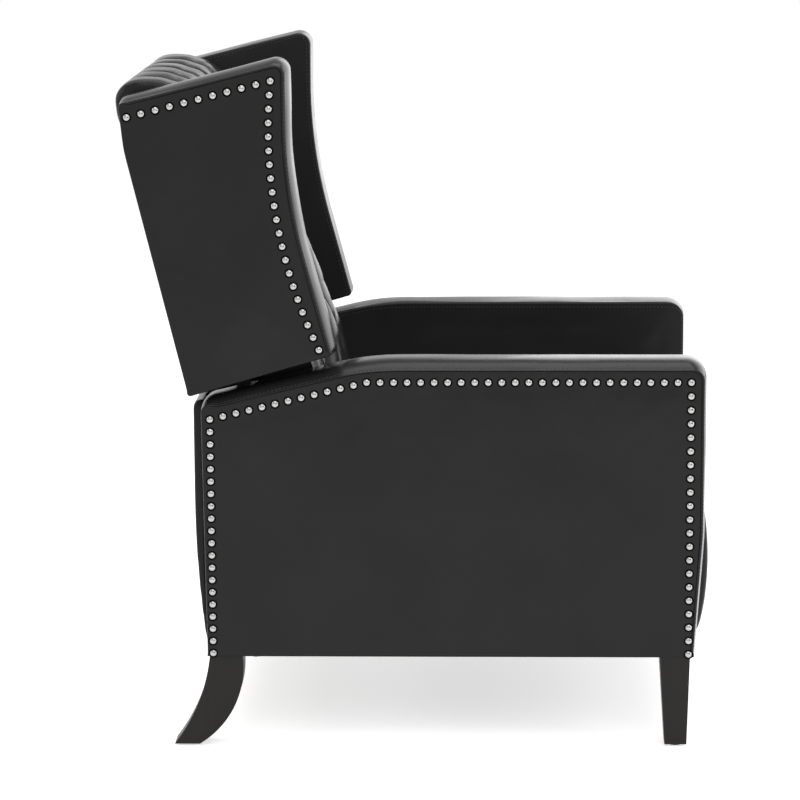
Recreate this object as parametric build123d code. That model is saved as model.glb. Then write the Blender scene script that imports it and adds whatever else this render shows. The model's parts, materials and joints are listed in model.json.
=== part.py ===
from build123d import *
import math
import os

# Wingback push-back recliner, in millimetres.
# +Z is up, the front of the chair faces -Y, and X = 0 is its plane of symmetry.
# The origin is on the floor, at the middle of the chair's bounding box.
# "left" and "right" are the sitter's, so the left side is +X.
# Side outlines are drawn in the (Y, Z) plane and given their thickness along X.

# ---------------------------------------------------------------- driving dimensions

total_width = 690.0
total_depth = 875.0
total_height = 1030.0
leg_height = 140.0
fit_clearance = 0.05        # round a bolt or pin that doesn't turn
running_clearance = 0.08    # round a pivot pin, on the radius
open_pivot_clearance = 0.5  # round the pins that close the linkage loops
layer_gap = 0.5             # between neighbouring flat links

# arms
arm_thickness = 85.0
arm_height = 590.0
arm_front_inset = 10.5      # arm front behind the seat nose
arm_rear_inset = 116.5      # arm rear in front of the wing's rear corner
arm_slope_run = 246.0       # from the arm's rear to the start of its slope
arm_rear_top_z = 531.0
arm_front_bottom_lean = 13.0
arm_rear_bottom_lean = 5.0
arm_front_knee_z = 330.0
arm_front_knee_radius = 400.0
arm_top_front_radius = 30.0
arm_top_bend_radius = 400.0
arm_top_rear_radius = 24.0
arm_edge_radius = 15.0
arm_pad_thickness = 12.0
arm_side_pad_thickness = 8.0
arm_rail_width = 42.0
arm_stile_run = 380.0       # from the arm's rear to its middle stile

# legs
leg_width = 45.0
leg_side_inset = 8.0
glide_height = 3.0
glide_radius = 10.0
front_leg_top_depth = 45.0
front_leg_foot_depth = 33.0
front_leg_foot_width = 33.0
front_leg_inset = 21.0      # leg behind the arm front
front_leg_front_taper = 3.5
rear_leg_inset = 9.0        # leg in front of the arm rear
rear_leg_top_depth = 49.0
rear_leg_foot_depth = 38.0
rear_leg_splay = 55.0       # foot behind the top
rear_leg_mid_z = 68.0
rear_leg_mid_front_sweep = 10.0
rear_leg_mid_rear_sweep = 18.0
leg_bolt_radius = 4.0
leg_bolt_in_leg = 38.0
leg_bolt_in_arm = 30.0
arm_bolt_inset = 79.0
hex_head_radius = 7.5
hex_head_height = 6.0

# base
front_rail_inset = 75.5     # rail behind the seat nose
cross_rail_depth = 32.0
cross_rail_height = 30.0
cross_rail_lift = 6.0       # rail above the arm's underside
cross_rail_edge_radius = 3.0
rear_panel_top_z = 513.0
rear_board_thickness = 6.0
rear_pad_thickness = 18.0
rear_pad_foot_thickness = 3.0
rear_cover_bend_z = 370.0   # cover runs straight above, and curves in below
rear_cover_top_radius = 12.0
rear_panel_side_gap = 3.0
rear_cover_overhang = 2.0   # cover above its board's top and above the arm's underside

# seat
seat_side_gap = 4.0
seat_top_z = 476.0
seat_nose_z = 388.0
seat_crown = 22.0
seat_side_pull_in = 7.0
seat_frame_bottom_z = 389.0
seat_frame_height = 24.0
seat_rail_width = 45.0
seat_frame_side_gap = 4.4   # frame inside the innermost links
seat_frame_inset = 65.5     # frame behind the seat nose
seat_frame_rear_gap = 63.0  # frame in front of the back pad
seat_cushion_lift = 0.3     # cushion above its webbing
seat_cushion_rear_gap = 6.0
seat_lap_gap = 4.0          # cushion's lap in front of the frame
seat_nose_foot_run = 22.0
seat_nose_top_run = 20.0
seat_nose_bulge_lift = 6.0
seat_side_drop = 6.0        # crown's ends below its front edge
webbing_thickness = 2.0
webbing_end_inset = 10.0
webbing_width = 50.0
webbing_count = 5

# back
back_lean = 13.7            # degrees from the vertical
wing_foot_z = 545.0
wing_thickness = 84.0
wing_side_inset = 3.0       # wing outer face inside the arm's outer face
wing_front_foot_inset = 316.5
wing_front_foot_z = 600.0
wing_front_inset = 251.5
wing_front_bend_drop = 190.0    # below the top of the chair
wing_front_bend_radius = 820.0
wing_top_drop = 14.0        # degrees, front to rear
wing_top_lean = 6.0         # degrees from the vertical, above the rear bend
wing_rear_bend_drop = 130.0     # below the top of the chair
wing_rear_bend_radius = 200.0
wing_back_lap = 8.0         # wing's rear line behind the back's
wing_corner_radius = 20.0
wing_rear_corner_radius = 14.0
wing_foot_radius = 8.0
wing_edge_radius = 11.0
wing_pad_thickness = 12.0
wing_side_pad_thickness = 8.0
wing_rail_width = 34.0
back_side_gap = 0.5         # back pad to wing
outer_back_thickness = 10.0
outer_back_edge_radius = 3.0
outer_back_foot_radius = 8.0
outer_back_foot_inset = 2.0
outer_back_frame_gap = 1.0  # under the back frame
back_timber = 42.0
back_frame_foot_z = 575.0
back_return_run = 51.0      # in front of the rear line
back_return_z = 556.0
pad_foot_z = 345.0
pad_seat_z = 440.0
pad_seat_inset = 336.5
pad_lumbar_z = 680.0
pad_lumbar_inset = 285.5
pad_top_drop = 135.0
pad_top_inset = 137.5
pad_bend_radius = 250.0
pad_tail_thickness = 28.0
pad_tail_step = 4.0         # tail behind the pad's front
pad_tail_side_gap = 4.4     # tail inside the innermost links
pad_shoulder_z = 404.0
pad_return_lift = 10.0      # pad's rear step below the outer back's foot
pad_rear_low_run = 98.5     # in front of the rear line
head_roll_radius = 67.0
head_roll_inset = 69.0
head_roll_drop = 93.0
head_roll_gap = 0.5         # round the roll, in the pieces that hold it
head_roll_channels = 6
channel_depth = 9.0
channel_width = 20.0
outer_back_top_drop = 12.0  # below the head roll's axis
button_radius = 11.0
button_height = 5.0
tuft_pocket_radius = 12.0
tuft_pocket_depth = 13.0
pleat_width = 18.0
pleat_depth = 9.0
pleat_lip = 0.9             # groove's full width is reached just above the surface
pleat_cut_height = 18.0
pleat_foot_lift = 12.0      # lowest pleats start above the seat line
pleat_top_drop = 5.0        # highest pleats end below the pad's top
pocket_cut_height = 10.0
tuft_column_pitch = 108.0
tuft_row_heights = [560.0, 660.0, 760.0]
tuft_row_counts = [4, 3, 4]

# trim nails
nail_radius = 5.3
nail_height = 2.6
nail_sides = 6
nail_crown_radius = 2.6
arm_top_nail_count = 37
arm_front_nail_count = 20
arm_rear_nail_count = 19
arm_nail_front_inset = 24.0
arm_nail_top_inset = 33.0
arm_nail_rear_inset = 15.0
arm_nail_bottom_inset = 6.0
wing_top_nail_count = 11
wing_front_nail_count = 21
wing_nail_front_inset = 25.0
wing_nail_top_drop = 30.0
wing_nail_row_length = 210.0
wing_nail_bow = 4.0
wing_nail_bow_drop = 215.0
wing_nail_foot_inset = 23.0
wing_nail_foot_z = 605.0

# recline mechanism, side view
link_thickness = 4.0
plate_thickness = 4.0
base_plate_thickness = 3.0
link_width = 22.0
slim_link_width = 18.0
pin_radius = 4.0
pin_head_radius = 7.5
pin_head_height = 2.5
pin_end_gap = 0.1           # under a pin's head
swing_length = 76.0
swing_rest_angle = -93.0
swing_pivot_z = 372.0
rear_swing_inset = 277.5    # rear links in front of the wing's rear corner
front_swing_inset = 377.5   # behind the seat nose
back_pivot_inset = 177.5
back_pivot_z = 380.0
drive_pivot_inset = 232.5   # behind the seat nose
drive_pivot_z = 362.0
drive_length = 160.0
drive_tail_length = 38.0
drive_rest_angle = -110.0
idler_offset = 55.0
idler_offset_angle = -150.0
footrest_hinge_inset = 72.5
footrest_hinge_z = 320.0
torque_tube_reach = 70.0
torque_tube_radius = 9.5
tube_wall = 1.5
seat_tube_radius = 12.5
seat_tube_gap = 12.5        # tube behind the back pad's tail
seat_tube_z = 345.0
base_plate_front_run = 140.0
base_plate_rear_run = 75.0
base_plate_drop = 22.0      # plate's foot below the swing pivots
base_plate_rise = 14.0
base_plate_corner_radius = 8.0
screw_radius = 2.5
screw_head_radius = 5.0
screw_head_height = 2.0
screw_length = 7.0
screw_inset = 20.0          # from the plate's ends
screw_drop = 6.0            # below the swing pivots
seat_plate_inset = 20.0     # plate behind the seat frame's front
seat_plate_boss_margin = 4.0
seat_plate_nose_depth = 30.0
seat_plate_belly_depth = 42.0
seat_plate_belly_run = 45.0
seat_plate_idler_run = 20.0
seat_plate_neck_rise = 40.0
seat_plate_neck_run = 34.0
seat_plate_foot_run = 14.0
seat_plate_heel_run = 12.0
seat_plate_back_run = 30.0
seat_plate_shoulder_run = 60.0
seat_plate_small_radius = 4.0
seat_plate_radius = 12.0
seat_plate_large_radius = 20.0
lightening_hole_radius = 10.0
lightening_hole_run = 60.0
lightening_hole_drop = 26.0
flange_thickness = 3.0
flange_inset = 6.0
flange_lap = 10.0           # flange under the frame's rail, short of its inner edge
bracket_half_width = 14.0
bracket_corner_gap = 1.0
bracket_bend_drop = 16.0    # below the outer back's foot
bracket_shoulder_rise = 35.0
bracket_reach = 90.0
bracket_side_gap = 8.0      # bracket's rear edge in front of the stile's
bracket_bend_radius = 10.0
bracket_end_radius = 8.0
bracket_throat_radius = 30.0
bracket_clearance = 1.0
back_bolt_radius = 3.0
back_bolt_length = 30.0
back_bolt_head_height = 4.0
back_bolt_foot_rise = 15.0
back_bolt_top_drop = 20.0

# footrest
footrest_top_z = 379.0
footrest_bottom_z = 150.0
footrest_front_inset = 6.5
footrest_board_thickness = 15.0
footrest_pad_thickness = 22.0
footrest_crown = 8.0
footrest_side_gap = 5.0
footrest_board_margin = 4.0
footrest_bulge_drop = 40.0
footrest_bracket_rise = 14.0
footrest_bracket_reach = 11.0
footrest_bracket_drop = 40.0
footrest_bracket_radius = 10.0
footrest_flange_width = 30.0
footrest_flange_thickness = 3.0

# modelling
overrun = 1.0               # cuts run past the faces that they open
fillet_room = 0.9           # share of a corner's straight edges that its fillet may take
same_point = 0.001
same_direction = 0.01

# ---------------------------------------------------------------- worked out from them

front_y = -total_depth / 2
rear_y = total_depth / 2
arm_outer_x = total_width / 2 - nail_height
arm_inner_x = arm_outer_x - arm_thickness
arm_front_y = front_y + arm_front_inset
arm_rear_y = rear_y - arm_rear_inset
arm_slope_start_y = arm_rear_y - arm_slope_run
wing_outer_x = arm_outer_x - wing_side_inset
wing_inner_x = wing_outer_x - wing_thickness
wing_front_y = rear_y - wing_front_inset
wing_front_foot_y = rear_y - wing_front_foot_inset
wing_front_bend_z = total_height - wing_front_bend_drop
pad_top_z = total_height - pad_top_drop
head_roll_z = total_height - head_roll_drop
back_frame_top_z = head_roll_z - head_roll_radius - head_roll_gap
wing_nail_top_z = total_height - wing_nail_top_drop
wing_nail_bow_z = total_height - wing_nail_bow_drop
back_half_width = wing_inner_x - back_side_gap

# The wing's rounded top corners touch the chair's full height and depth.
top_turn = math.radians(wing_top_drop)
back_slope = math.tan(math.radians(back_lean))
wing_front_top_z = total_height + wing_corner_radius * (1 / math.cos(top_turn) + math.tan(top_turn) - 1)
top_lean = math.radians(wing_top_lean)
wing_rear_top_y = rear_y + wing_rear_corner_radius * (
    (math.cos(top_turn) + math.sin(top_lean)) / math.cos(top_turn - top_lean) - 1)
wing_rear_top_z = wing_front_top_z - (wing_rear_top_y - wing_front_y) * math.tan(top_turn)
wing_rear_bend_z = total_height - wing_rear_bend_drop
wing_rear_bend_y = wing_rear_top_y - (wing_rear_top_z - wing_rear_bend_z) * math.tan(top_lean)
wing_rear_foot_y = wing_rear_bend_y - (wing_rear_bend_z - wing_foot_z) * back_slope
back_rear_foot_y = wing_rear_foot_y - wing_back_lap

front_leg_front_y = arm_front_y + front_leg_inset
rear_leg_top_rear_y = arm_rear_y - rear_leg_inset
rear_leg_top_front_y = rear_leg_top_rear_y - rear_leg_top_depth
rear_leg_foot_rear_y = rear_leg_top_rear_y + rear_leg_splay
rear_leg_foot_front_y = rear_leg_foot_rear_y - rear_leg_foot_depth
rear_leg_mid_front_y = rear_leg_top_front_y + rear_leg_mid_front_sweep
rear_leg_mid_rear_y = rear_leg_top_rear_y + rear_leg_mid_rear_sweep
front_rail_y = front_y + front_rail_inset
rear_rail_y = arm_rear_y - rear_board_thickness - cross_rail_depth / 2
seat_frame_front_y = front_y + seat_frame_inset
pad_seat_y = rear_y - pad_seat_inset
seat_frame_rear_y = pad_seat_y - seat_frame_rear_gap
back_pivot = (rear_y - back_pivot_inset, back_pivot_z)
rear_swing_y = rear_y - rear_swing_inset
front_swing_y = front_y + front_swing_inset
drive_pivot = (front_y + drive_pivot_inset, drive_pivot_z)
footrest_hinge = (front_y + footrest_hinge_inset, footrest_hinge_z)

# The pad's tail is curved about the back's pivot, so that it slides behind the seat cushion.
tail_front_radius = back_pivot[0] - pad_seat_y + pad_tail_step
tail_rear_radius = tail_front_radius - pad_tail_thickness
seat_tube_pivot = (back_pivot[0] - tail_rear_radius + seat_tube_gap + seat_tube_radius, seat_tube_z)
pad_lumbar_y = rear_y - pad_lumbar_inset
pad_top_y = rear_y - pad_top_inset
head_roll_y = rear_y - head_roll_inset
leg_outer_x = arm_outer_x - leg_side_inset
leg_center_x = leg_outer_x - leg_width / 2

# flat layers of the mechanism, outward to inward, as (outer x, inner x)
base_layer = (arm_inner_x, arm_inner_x - base_plate_thickness)
swing_layer = (base_layer[1] - layer_gap, base_layer[1] - layer_gap - link_thickness)
seat_layer = (swing_layer[1] - layer_gap, swing_layer[1] - layer_gap - plate_thickness)
link_layer = (seat_layer[1] - layer_gap, seat_layer[1] - layer_gap - link_thickness)
inner_layer = (link_layer[1] - layer_gap, link_layer[1] - layer_gap - link_thickness)
seat_frame_half_width = inner_layer[1] - seat_frame_side_gap
tail_half_width = inner_layer[1] - pad_tail_side_gap


def polar(start, length, angle):
    """Point at a distance and angle from another; 0 degrees is forward, 90 degrees is up."""
    turn = math.radians(angle)
    return (start[0] - length * math.cos(turn), start[1] + length * math.sin(turn))


front_swing_top = (front_swing_y, swing_pivot_z)
rear_swing_top = (rear_swing_y, swing_pivot_z)
front_swing_foot = polar(front_swing_top, swing_length, swing_rest_angle)
rear_swing_foot = polar(rear_swing_top, swing_length, swing_rest_angle)
idler_pivot = polar(drive_pivot, idler_offset, idler_offset_angle)
drive_joint = polar(drive_pivot, drive_length, drive_rest_angle)
drive_tail = polar(drive_joint, drive_tail_length, drive_rest_angle)
idler_joint = polar(idler_pivot, drive_length, drive_rest_angle)
stay_joint = polar(footrest_hinge, drive_tail_length, drive_rest_angle)

parts = {}

# ---------------------------------------------------------------- shared shapes


def limited_radius(face, corner, radius):
    """The radius, or the largest that the two straight edges beside the corner have room for."""
    runs = []
    for edge in face.edges():
        ends = [edge @ 0, edge @ 1]
        ends.sort(key=lambda end: (end - corner.center()).length)
        if (ends[0] - corner.center()).length < same_point:
            runs.append(ends[1] - ends[0])
    turn = math.radians(180 - runs[0].get_angle(runs[1]))
    shorter = min(run.length for run in runs)
    return min(radius, fillet_room * shorter / math.tan(turn / 2))


def side_face(corners):
    """Closed side outline from (y, z, radius) corners, each rounded by its own radius."""
    face = make_face(Polyline(*[(y, z) for y, z, _ in corners], close=True))
    for y, z, radius in corners:
        if radius > 0:
            corner = face.vertices().sort_by_distance(Vector(y, z))[0]
            face = fillet(corner, limited_radius(face, corner, radius))
    return face


def slab(face, x_from, x_to):
    """Side outline given its thickness between two X planes."""
    low, high = min(x_from, x_to), max(x_from, x_to)
    return extrude(Plane.YZ.offset(low) * face, amount=high - low)


def disc(center, radius, x_from, x_to):
    """Round bar along X."""
    return slab(Pos(*center) * Circle(radius), x_from, x_to)


def strap_face(points, width):
    """Flat bar of one width through the points, with round ends."""
    face = None
    for start, end in zip(points, points[1:]):
        run = Vector(end[0] - start[0], end[1] - start[1])
        middle = ((start[0] + end[0]) / 2, (start[1] + end[1]) / 2)
        angle = math.degrees(math.atan2(run.Y, run.X))
        piece = Pos(*middle) * Rot(0, 0, angle) * SlotCenterToCenter(run.length, width)
        face = piece if face is None else face + piece
    return face


def link(points, width, layer, holes):
    """Flat link in one layer; holes is a list of (point, radius)."""
    face = strap_face(points, width)
    for center, radius in holes:
        face = face - Pos(*center) * Circle(radius)
    return slab(face, *layer)


def pin(center, x_outer, x_inner, head=True):
    """Pivot pin from its outer end to its inner end, with a head beyond the inner end."""
    solid = disc(center, pin_radius, x_inner, x_outer)
    if head:
        solid = solid + disc(center, pin_head_radius, x_inner - pin_head_height, x_inner)
    return solid


def both_sides(name, left_solid):
    """Stores a left piece and its mirror image."""
    parts[name + "_left"] = left_solid
    parts[name + "_right"] = mirror(left_solid, about=Plane.YZ)


def mirrored_group(solids):
    """Solids of the left side and their mirror images, as one node."""
    group = []
    for solid in solids:
        group.append(solid)
        group.append(mirror(solid, about=Plane.YZ))
    return Compound(children=[s for shape in group for s in shape.solids()])


running_hole = pin_radius + running_clearance
fixed_hole = pin_radius + fit_clearance
open_hole = pin_radius + open_pivot_clearance

# ---------------------------------------------------------------- arms


def arm_face():
    return side_face([
        (arm_front_y + arm_front_bottom_lean, leg_height, 0),
        (arm_front_y, arm_front_knee_z, arm_front_knee_radius),
        (arm_front_y, arm_height, arm_top_front_radius),
        (arm_slope_start_y, arm_height, arm_top_bend_radius),
        (arm_rear_y, arm_rear_top_z, arm_top_rear_radius),
        (arm_rear_y - arm_rear_bottom_lean, leg_height, 0),
    ])


def bolt_hole(x, y, radius, z_from, z_to):
    return Pos(x, y, (z_from + z_to) / 2) * Cylinder(radius, z_to - z_from)


front_leg_bolt = (leg_center_x, front_leg_front_y + front_leg_top_depth / 2)
rear_leg_bolt = (leg_center_x, (rear_leg_top_front_y + rear_leg_top_rear_y) / 2)
arm_bolt = (leg_center_x, arm_rear_y - arm_bolt_inset)
bolt_top_z = leg_height + leg_bolt_in_arm


def make_arm():
    outer = arm_face()
    body = slab(outer, arm_inner_x, arm_outer_x)
    rim = [e for e in body.edges().filter_by(Axis.X, reverse=True) if e.center().Z > leg_height + same_point]
    body = fillet(rim, arm_edge_radius)
    cavity_x = (arm_inner_x + arm_side_pad_thickness, arm_outer_x - arm_side_pad_thickness)
    cavity = offset(outer, -arm_pad_thickness)
    window = offset(outer, -(arm_pad_thickness + arm_rail_width))
    timber = cavity - window
    stile = Pos(arm_rear_y - arm_stile_run, (leg_height + arm_height) / 2) * Rectangle(arm_rail_width, arm_height)
    timber = timber + (cavity & stile)
    cover = body - slab(cavity, *cavity_x)
    frame = slab(timber, *cavity_x)
    hole = leg_bolt_radius + fit_clearance
    for x, y in (front_leg_bolt, rear_leg_bolt, arm_bolt):
        drilled = bolt_hole(x, y, hole, leg_height - overrun, bolt_top_z)
        cover = cover - drilled
        frame = frame - drilled
    return cover, frame


arm_cover, arm_frame = make_arm()
both_sides("arm_cover", arm_cover)
both_sides("arm_frame", arm_frame)

# ---------------------------------------------------------------- legs


def make_front_leg():
    middle_y = front_leg_front_y + front_leg_top_depth / 2
    foot_y = front_leg_front_y + front_leg_front_taper + front_leg_foot_depth / 2
    top = Plane.XY.offset(leg_height) * Pos(leg_center_x, middle_y) * Rectangle(
        leg_width, front_leg_top_depth)
    foot = Plane.XY.offset(glide_height) * Pos(leg_center_x, foot_y) * Rectangle(
        front_leg_foot_width, front_leg_foot_depth)
    return loft([foot, top])


def make_rear_leg():
    front = ThreePointArc((rear_leg_top_front_y, leg_height), (rear_leg_mid_front_y, rear_leg_mid_z),
                          (rear_leg_foot_front_y, glide_height))
    foot = Line((rear_leg_foot_front_y, glide_height), (rear_leg_foot_rear_y, glide_height))
    rear = ThreePointArc((rear_leg_foot_rear_y, glide_height), (rear_leg_mid_rear_y, rear_leg_mid_z),
                         (rear_leg_top_rear_y, leg_height))
    top = Line((rear_leg_top_rear_y, leg_height), (rear_leg_top_front_y, leg_height))
    face = make_face([front, foot, rear, top])
    return slab(face, leg_center_x - leg_width / 2, leg_outer_x)


bolt_foot_z = leg_height - leg_bolt_in_leg
leg_hole = leg_bolt_radius + fit_clearance
both_sides("front_leg", make_front_leg() - bolt_hole(*front_leg_bolt, leg_hole, bolt_foot_z, leg_height + overrun))
both_sides("rear_leg", make_rear_leg() - bolt_hole(*rear_leg_bolt, leg_hole, bolt_foot_z, leg_height + overrun))

front_foot_y = front_leg_front_y + front_leg_front_taper + front_leg_foot_depth / 2
rear_foot_y = (rear_leg_foot_front_y + rear_leg_foot_rear_y) / 2
parts["leg_glides"] = mirrored_group([
    Pos(leg_center_x, y, glide_height / 2) * Cylinder(glide_radius, glide_height)
    for y in (front_foot_y, rear_foot_y)
])

hex_head = extrude(
    Plane.XY.offset(leg_height - hex_head_height) * Pos(*arm_bolt) * RegularPolygon(hex_head_radius, 6),
    amount=hex_head_height)
parts["base_bolts"] = mirrored_group([
    bolt_hole(*front_leg_bolt, leg_bolt_radius, bolt_foot_z, bolt_top_z),
    bolt_hole(*rear_leg_bolt, leg_bolt_radius, bolt_foot_z, bolt_top_z),
    hex_head + bolt_hole(*arm_bolt, leg_bolt_radius, leg_height - hex_head_height, bolt_top_z),
])

# ---------------------------------------------------------------- base rails and rear panel

rail_z = leg_height + cross_rail_lift + cross_rail_height / 2
for rail_name, rail_y in (("front_cross_rail", front_rail_y), ("rear_cross_rail", rear_rail_y)):
    rail = Pos(0, rail_y, rail_z) * Box(2 * arm_inner_x, cross_rail_depth, cross_rail_height)
    parts[rail_name] = fillet(rail.edges().filter_by(Axis.X), cross_rail_edge_radius)

panel_half_width = arm_inner_x - rear_panel_side_gap
rear_board_y = arm_rear_y - rear_board_thickness
board_face = side_face([
    (rear_board_y, leg_height + cross_rail_lift, 0),
    (rear_board_y + rear_board_thickness, leg_height + cross_rail_lift, 0),
    (rear_board_y + rear_board_thickness, rear_panel_top_z, 0),
    (rear_board_y, rear_panel_top_z, 0),
])
parts["rear_panel_board"] = slab(board_face, -arm_inner_x, arm_inner_x)
rear_cover_y = rear_board_y + rear_board_thickness
rear_bulge_y = rear_cover_y + rear_pad_thickness
cover_top_z = rear_panel_top_z + rear_cover_overhang
cover_foot_z = leg_height + rear_cover_overhang
cover_bend = (rear_bulge_y, rear_cover_bend_z)
cover_heel = (rear_cover_y + rear_pad_foot_thickness, cover_foot_z)
cover_outline = make_face([
    Polyline(cover_heel, (rear_cover_y, cover_foot_z), (rear_cover_y, cover_top_z), (rear_bulge_y, cover_top_z),
             cover_bend),
    TangentArc(cover_bend, cover_heel, tangent=(0, -1)),
])
cover_corner = cover_outline.vertices().sort_by_distance(Vector(rear_bulge_y, cover_top_z))[0]
cover_outline = fillet(cover_corner, rear_cover_top_radius)
parts["rear_panel_cover"] = slab(cover_outline, -panel_half_width, panel_half_width)

# ---------------------------------------------------------------- base plates

plate_front_y = front_swing_y - base_plate_front_run
plate_rear_y = rear_swing_y + base_plate_rear_run
screw_spots = [(y, swing_pivot_z - screw_drop) for y in
               (plate_front_y + screw_inset, (front_swing_y + rear_swing_y) / 2, plate_rear_y - screw_inset)]
plate_face = side_face([
    (plate_front_y, swing_pivot_z - base_plate_drop, base_plate_corner_radius),
    (plate_rear_y, swing_pivot_z - base_plate_drop, base_plate_corner_radius),
    (plate_rear_y, swing_pivot_z + base_plate_rise, base_plate_corner_radius),
    (plate_front_y, swing_pivot_z + base_plate_rise, base_plate_corner_radius),
])
for spot in screw_spots:
    plate_face = plate_face - Pos(*spot) * Circle(screw_radius + fit_clearance)
for spot in (front_swing_top, rear_swing_top):
    plate_face = plate_face - Pos(*spot) * Circle(fixed_hole)
both_sides("base_plate", slab(plate_face, *base_layer))
screws = []
for spot in screw_spots:
    head = slab(Pos(*spot) * RegularPolygon(screw_head_radius, 6), base_layer[1] - screw_head_height, base_layer[1])
    screws.append(head + disc(spot, screw_radius, base_layer[1], arm_inner_x + screw_length))
parts["base_plate_screws"] = mirrored_group(screws)
for side, sign in (("left", 1), ("right", -1)):
    for spot in screw_spots:
        hole_x = (sign * (arm_inner_x - overrun), sign * (arm_inner_x + screw_length))
        parts["arm_cover_" + side] -= disc(spot, screw_radius + fit_clearance, *hole_x)
parts["base_pivot_pins"] = mirrored_group([
    pin(top, base_layer[0], swing_layer[1], head=False) for top in (front_swing_top, rear_swing_top)
])

# ---------------------------------------------------------------- swing links

for name, top, foot, foot_hole in (
    ("front_swing_link", front_swing_top, front_swing_foot, running_hole),
    ("rear_swing_link", rear_swing_top, rear_swing_foot, open_hole),
):
    both_sides(name, link([top, foot], link_width, swing_layer, [(top, running_hole), (foot, foot_hole)]))

# ---------------------------------------------------------------- seat

seat_plate_top_z = seat_frame_bottom_z
seat_plate_front_y = seat_frame_front_y + seat_plate_inset
flange_inner_x = seat_frame_half_width - seat_rail_width + flange_lap


def make_seat_plate():
    """Side plate that carries every pivot of the seat, with a flange under the seat frame."""
    boss = link_width / 2 + seat_plate_boss_margin
    neck_z = front_swing_foot[1] + seat_plate_neck_rise
    small, middle, large = seat_plate_small_radius, seat_plate_radius, seat_plate_large_radius
    face = side_face([
        (seat_plate_front_y, seat_plate_top_z, small),
        (seat_plate_front_y, seat_plate_top_z - seat_plate_nose_depth, middle),
        (drive_pivot[0] - seat_plate_belly_run, seat_plate_top_z - seat_plate_belly_depth, large),
        (idler_pivot[0] - seat_plate_idler_run, idler_pivot[1] - boss, middle),
        (front_swing_foot[0] - boss - seat_plate_foot_run, front_swing_foot[1] - boss, middle),
        (front_swing_foot[0] + boss, front_swing_foot[1] - boss, middle),
        (front_swing_foot[0] + boss + seat_plate_neck_run, neck_z, large),
        (rear_swing_foot[0] - boss - seat_plate_neck_run, neck_z, large),
        (rear_swing_foot[0] - boss, rear_swing_foot[1] - boss, middle),
        (rear_swing_foot[0] + boss, rear_swing_foot[1] - boss, middle),
        (back_pivot[0] - seat_plate_heel_run, back_pivot[1] - boss, large),
        (back_pivot[0] + boss, back_pivot[1] - boss, middle),
        (back_pivot[0] + boss, back_pivot[1] + boss, middle),
        (back_pivot[0] - seat_plate_back_run, back_pivot[1] + boss, middle),
        (back_pivot[0] - seat_plate_shoulder_run, seat_plate_top_z, large),
    ])
    holes = [(spot, fixed_hole) for spot in (front_swing_foot, rear_swing_foot, drive_pivot, idler_pivot, back_pivot)]
    lightening_z = seat_plate_top_z - lightening_hole_drop
    holes.append(((rear_swing_y - lightening_hole_run, lightening_z), lightening_hole_radius))
    holes.append(((front_swing_y + lightening_hole_run, lightening_z), lightening_hole_radius))
    for center, radius in holes:
        face = face - Pos(*center) * Circle(radius)
    plate = slab(face, *seat_layer)
    flange_front_y = seat_plate_front_y + flange_inset
    flange_face = side_face([
        (flange_front_y, seat_plate_top_z - flange_thickness, 0),
        (seat_frame_rear_y, seat_plate_top_z - flange_thickness, 0),
        (seat_frame_rear_y, seat_plate_top_z, 0),
        (flange_front_y, seat_plate_top_z, 0),
    ])
    return plate + slab(flange_face, flange_inner_x, seat_layer[1])


both_sides("seat_plate", make_seat_plate())
parts["seat_cross_tube"] = (
    disc(seat_tube_pivot, seat_tube_radius, -seat_layer[1], seat_layer[1])
    - disc(seat_tube_pivot, seat_tube_radius - tube_wall, -seat_layer[1] - overrun, seat_layer[1] + overrun)
)
inner_end = link_layer[1] - pin_end_gap
parts["seat_pivot_pins"] = mirrored_group([
    pin(front_swing_foot, swing_layer[0], seat_layer[1]),
    pin(rear_swing_foot, swing_layer[0], seat_layer[1]),
    pin(drive_pivot, seat_layer[0], inner_end),
    pin(idler_pivot, seat_layer[0], inner_end),
    pin(back_pivot, seat_layer[0], inner_end),
])

frame_top_z = seat_frame_bottom_z + seat_frame_height
frame_outer = Pos(0, (seat_frame_front_y + seat_frame_rear_y) / 2) * Rectangle(
    2 * seat_frame_half_width, seat_frame_rear_y - seat_frame_front_y)
frame_inner = Pos(0, (seat_frame_front_y + seat_frame_rear_y) / 2) * Rectangle(
    2 * (seat_frame_half_width - seat_rail_width), seat_frame_rear_y - seat_frame_front_y - 2 * seat_rail_width)
parts["seat_frame"] = extrude(
    Plane.XY.offset(seat_frame_bottom_z) * (frame_outer - frame_inner), amount=seat_frame_height)

webbing_length = seat_frame_rear_y - seat_frame_front_y - 2 * webbing_end_inset
webbing_pitch = 2 * (seat_frame_half_width - seat_rail_width) / webbing_count
parts["seat_webbing"] = Compound(children=[
    Pos((i - (webbing_count - 1) / 2) * webbing_pitch, (seat_frame_front_y + seat_frame_rear_y) / 2,
        frame_top_z + webbing_thickness / 2)
    * Box(webbing_width, webbing_length, webbing_thickness)
    for i in range(webbing_count)
])


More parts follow.
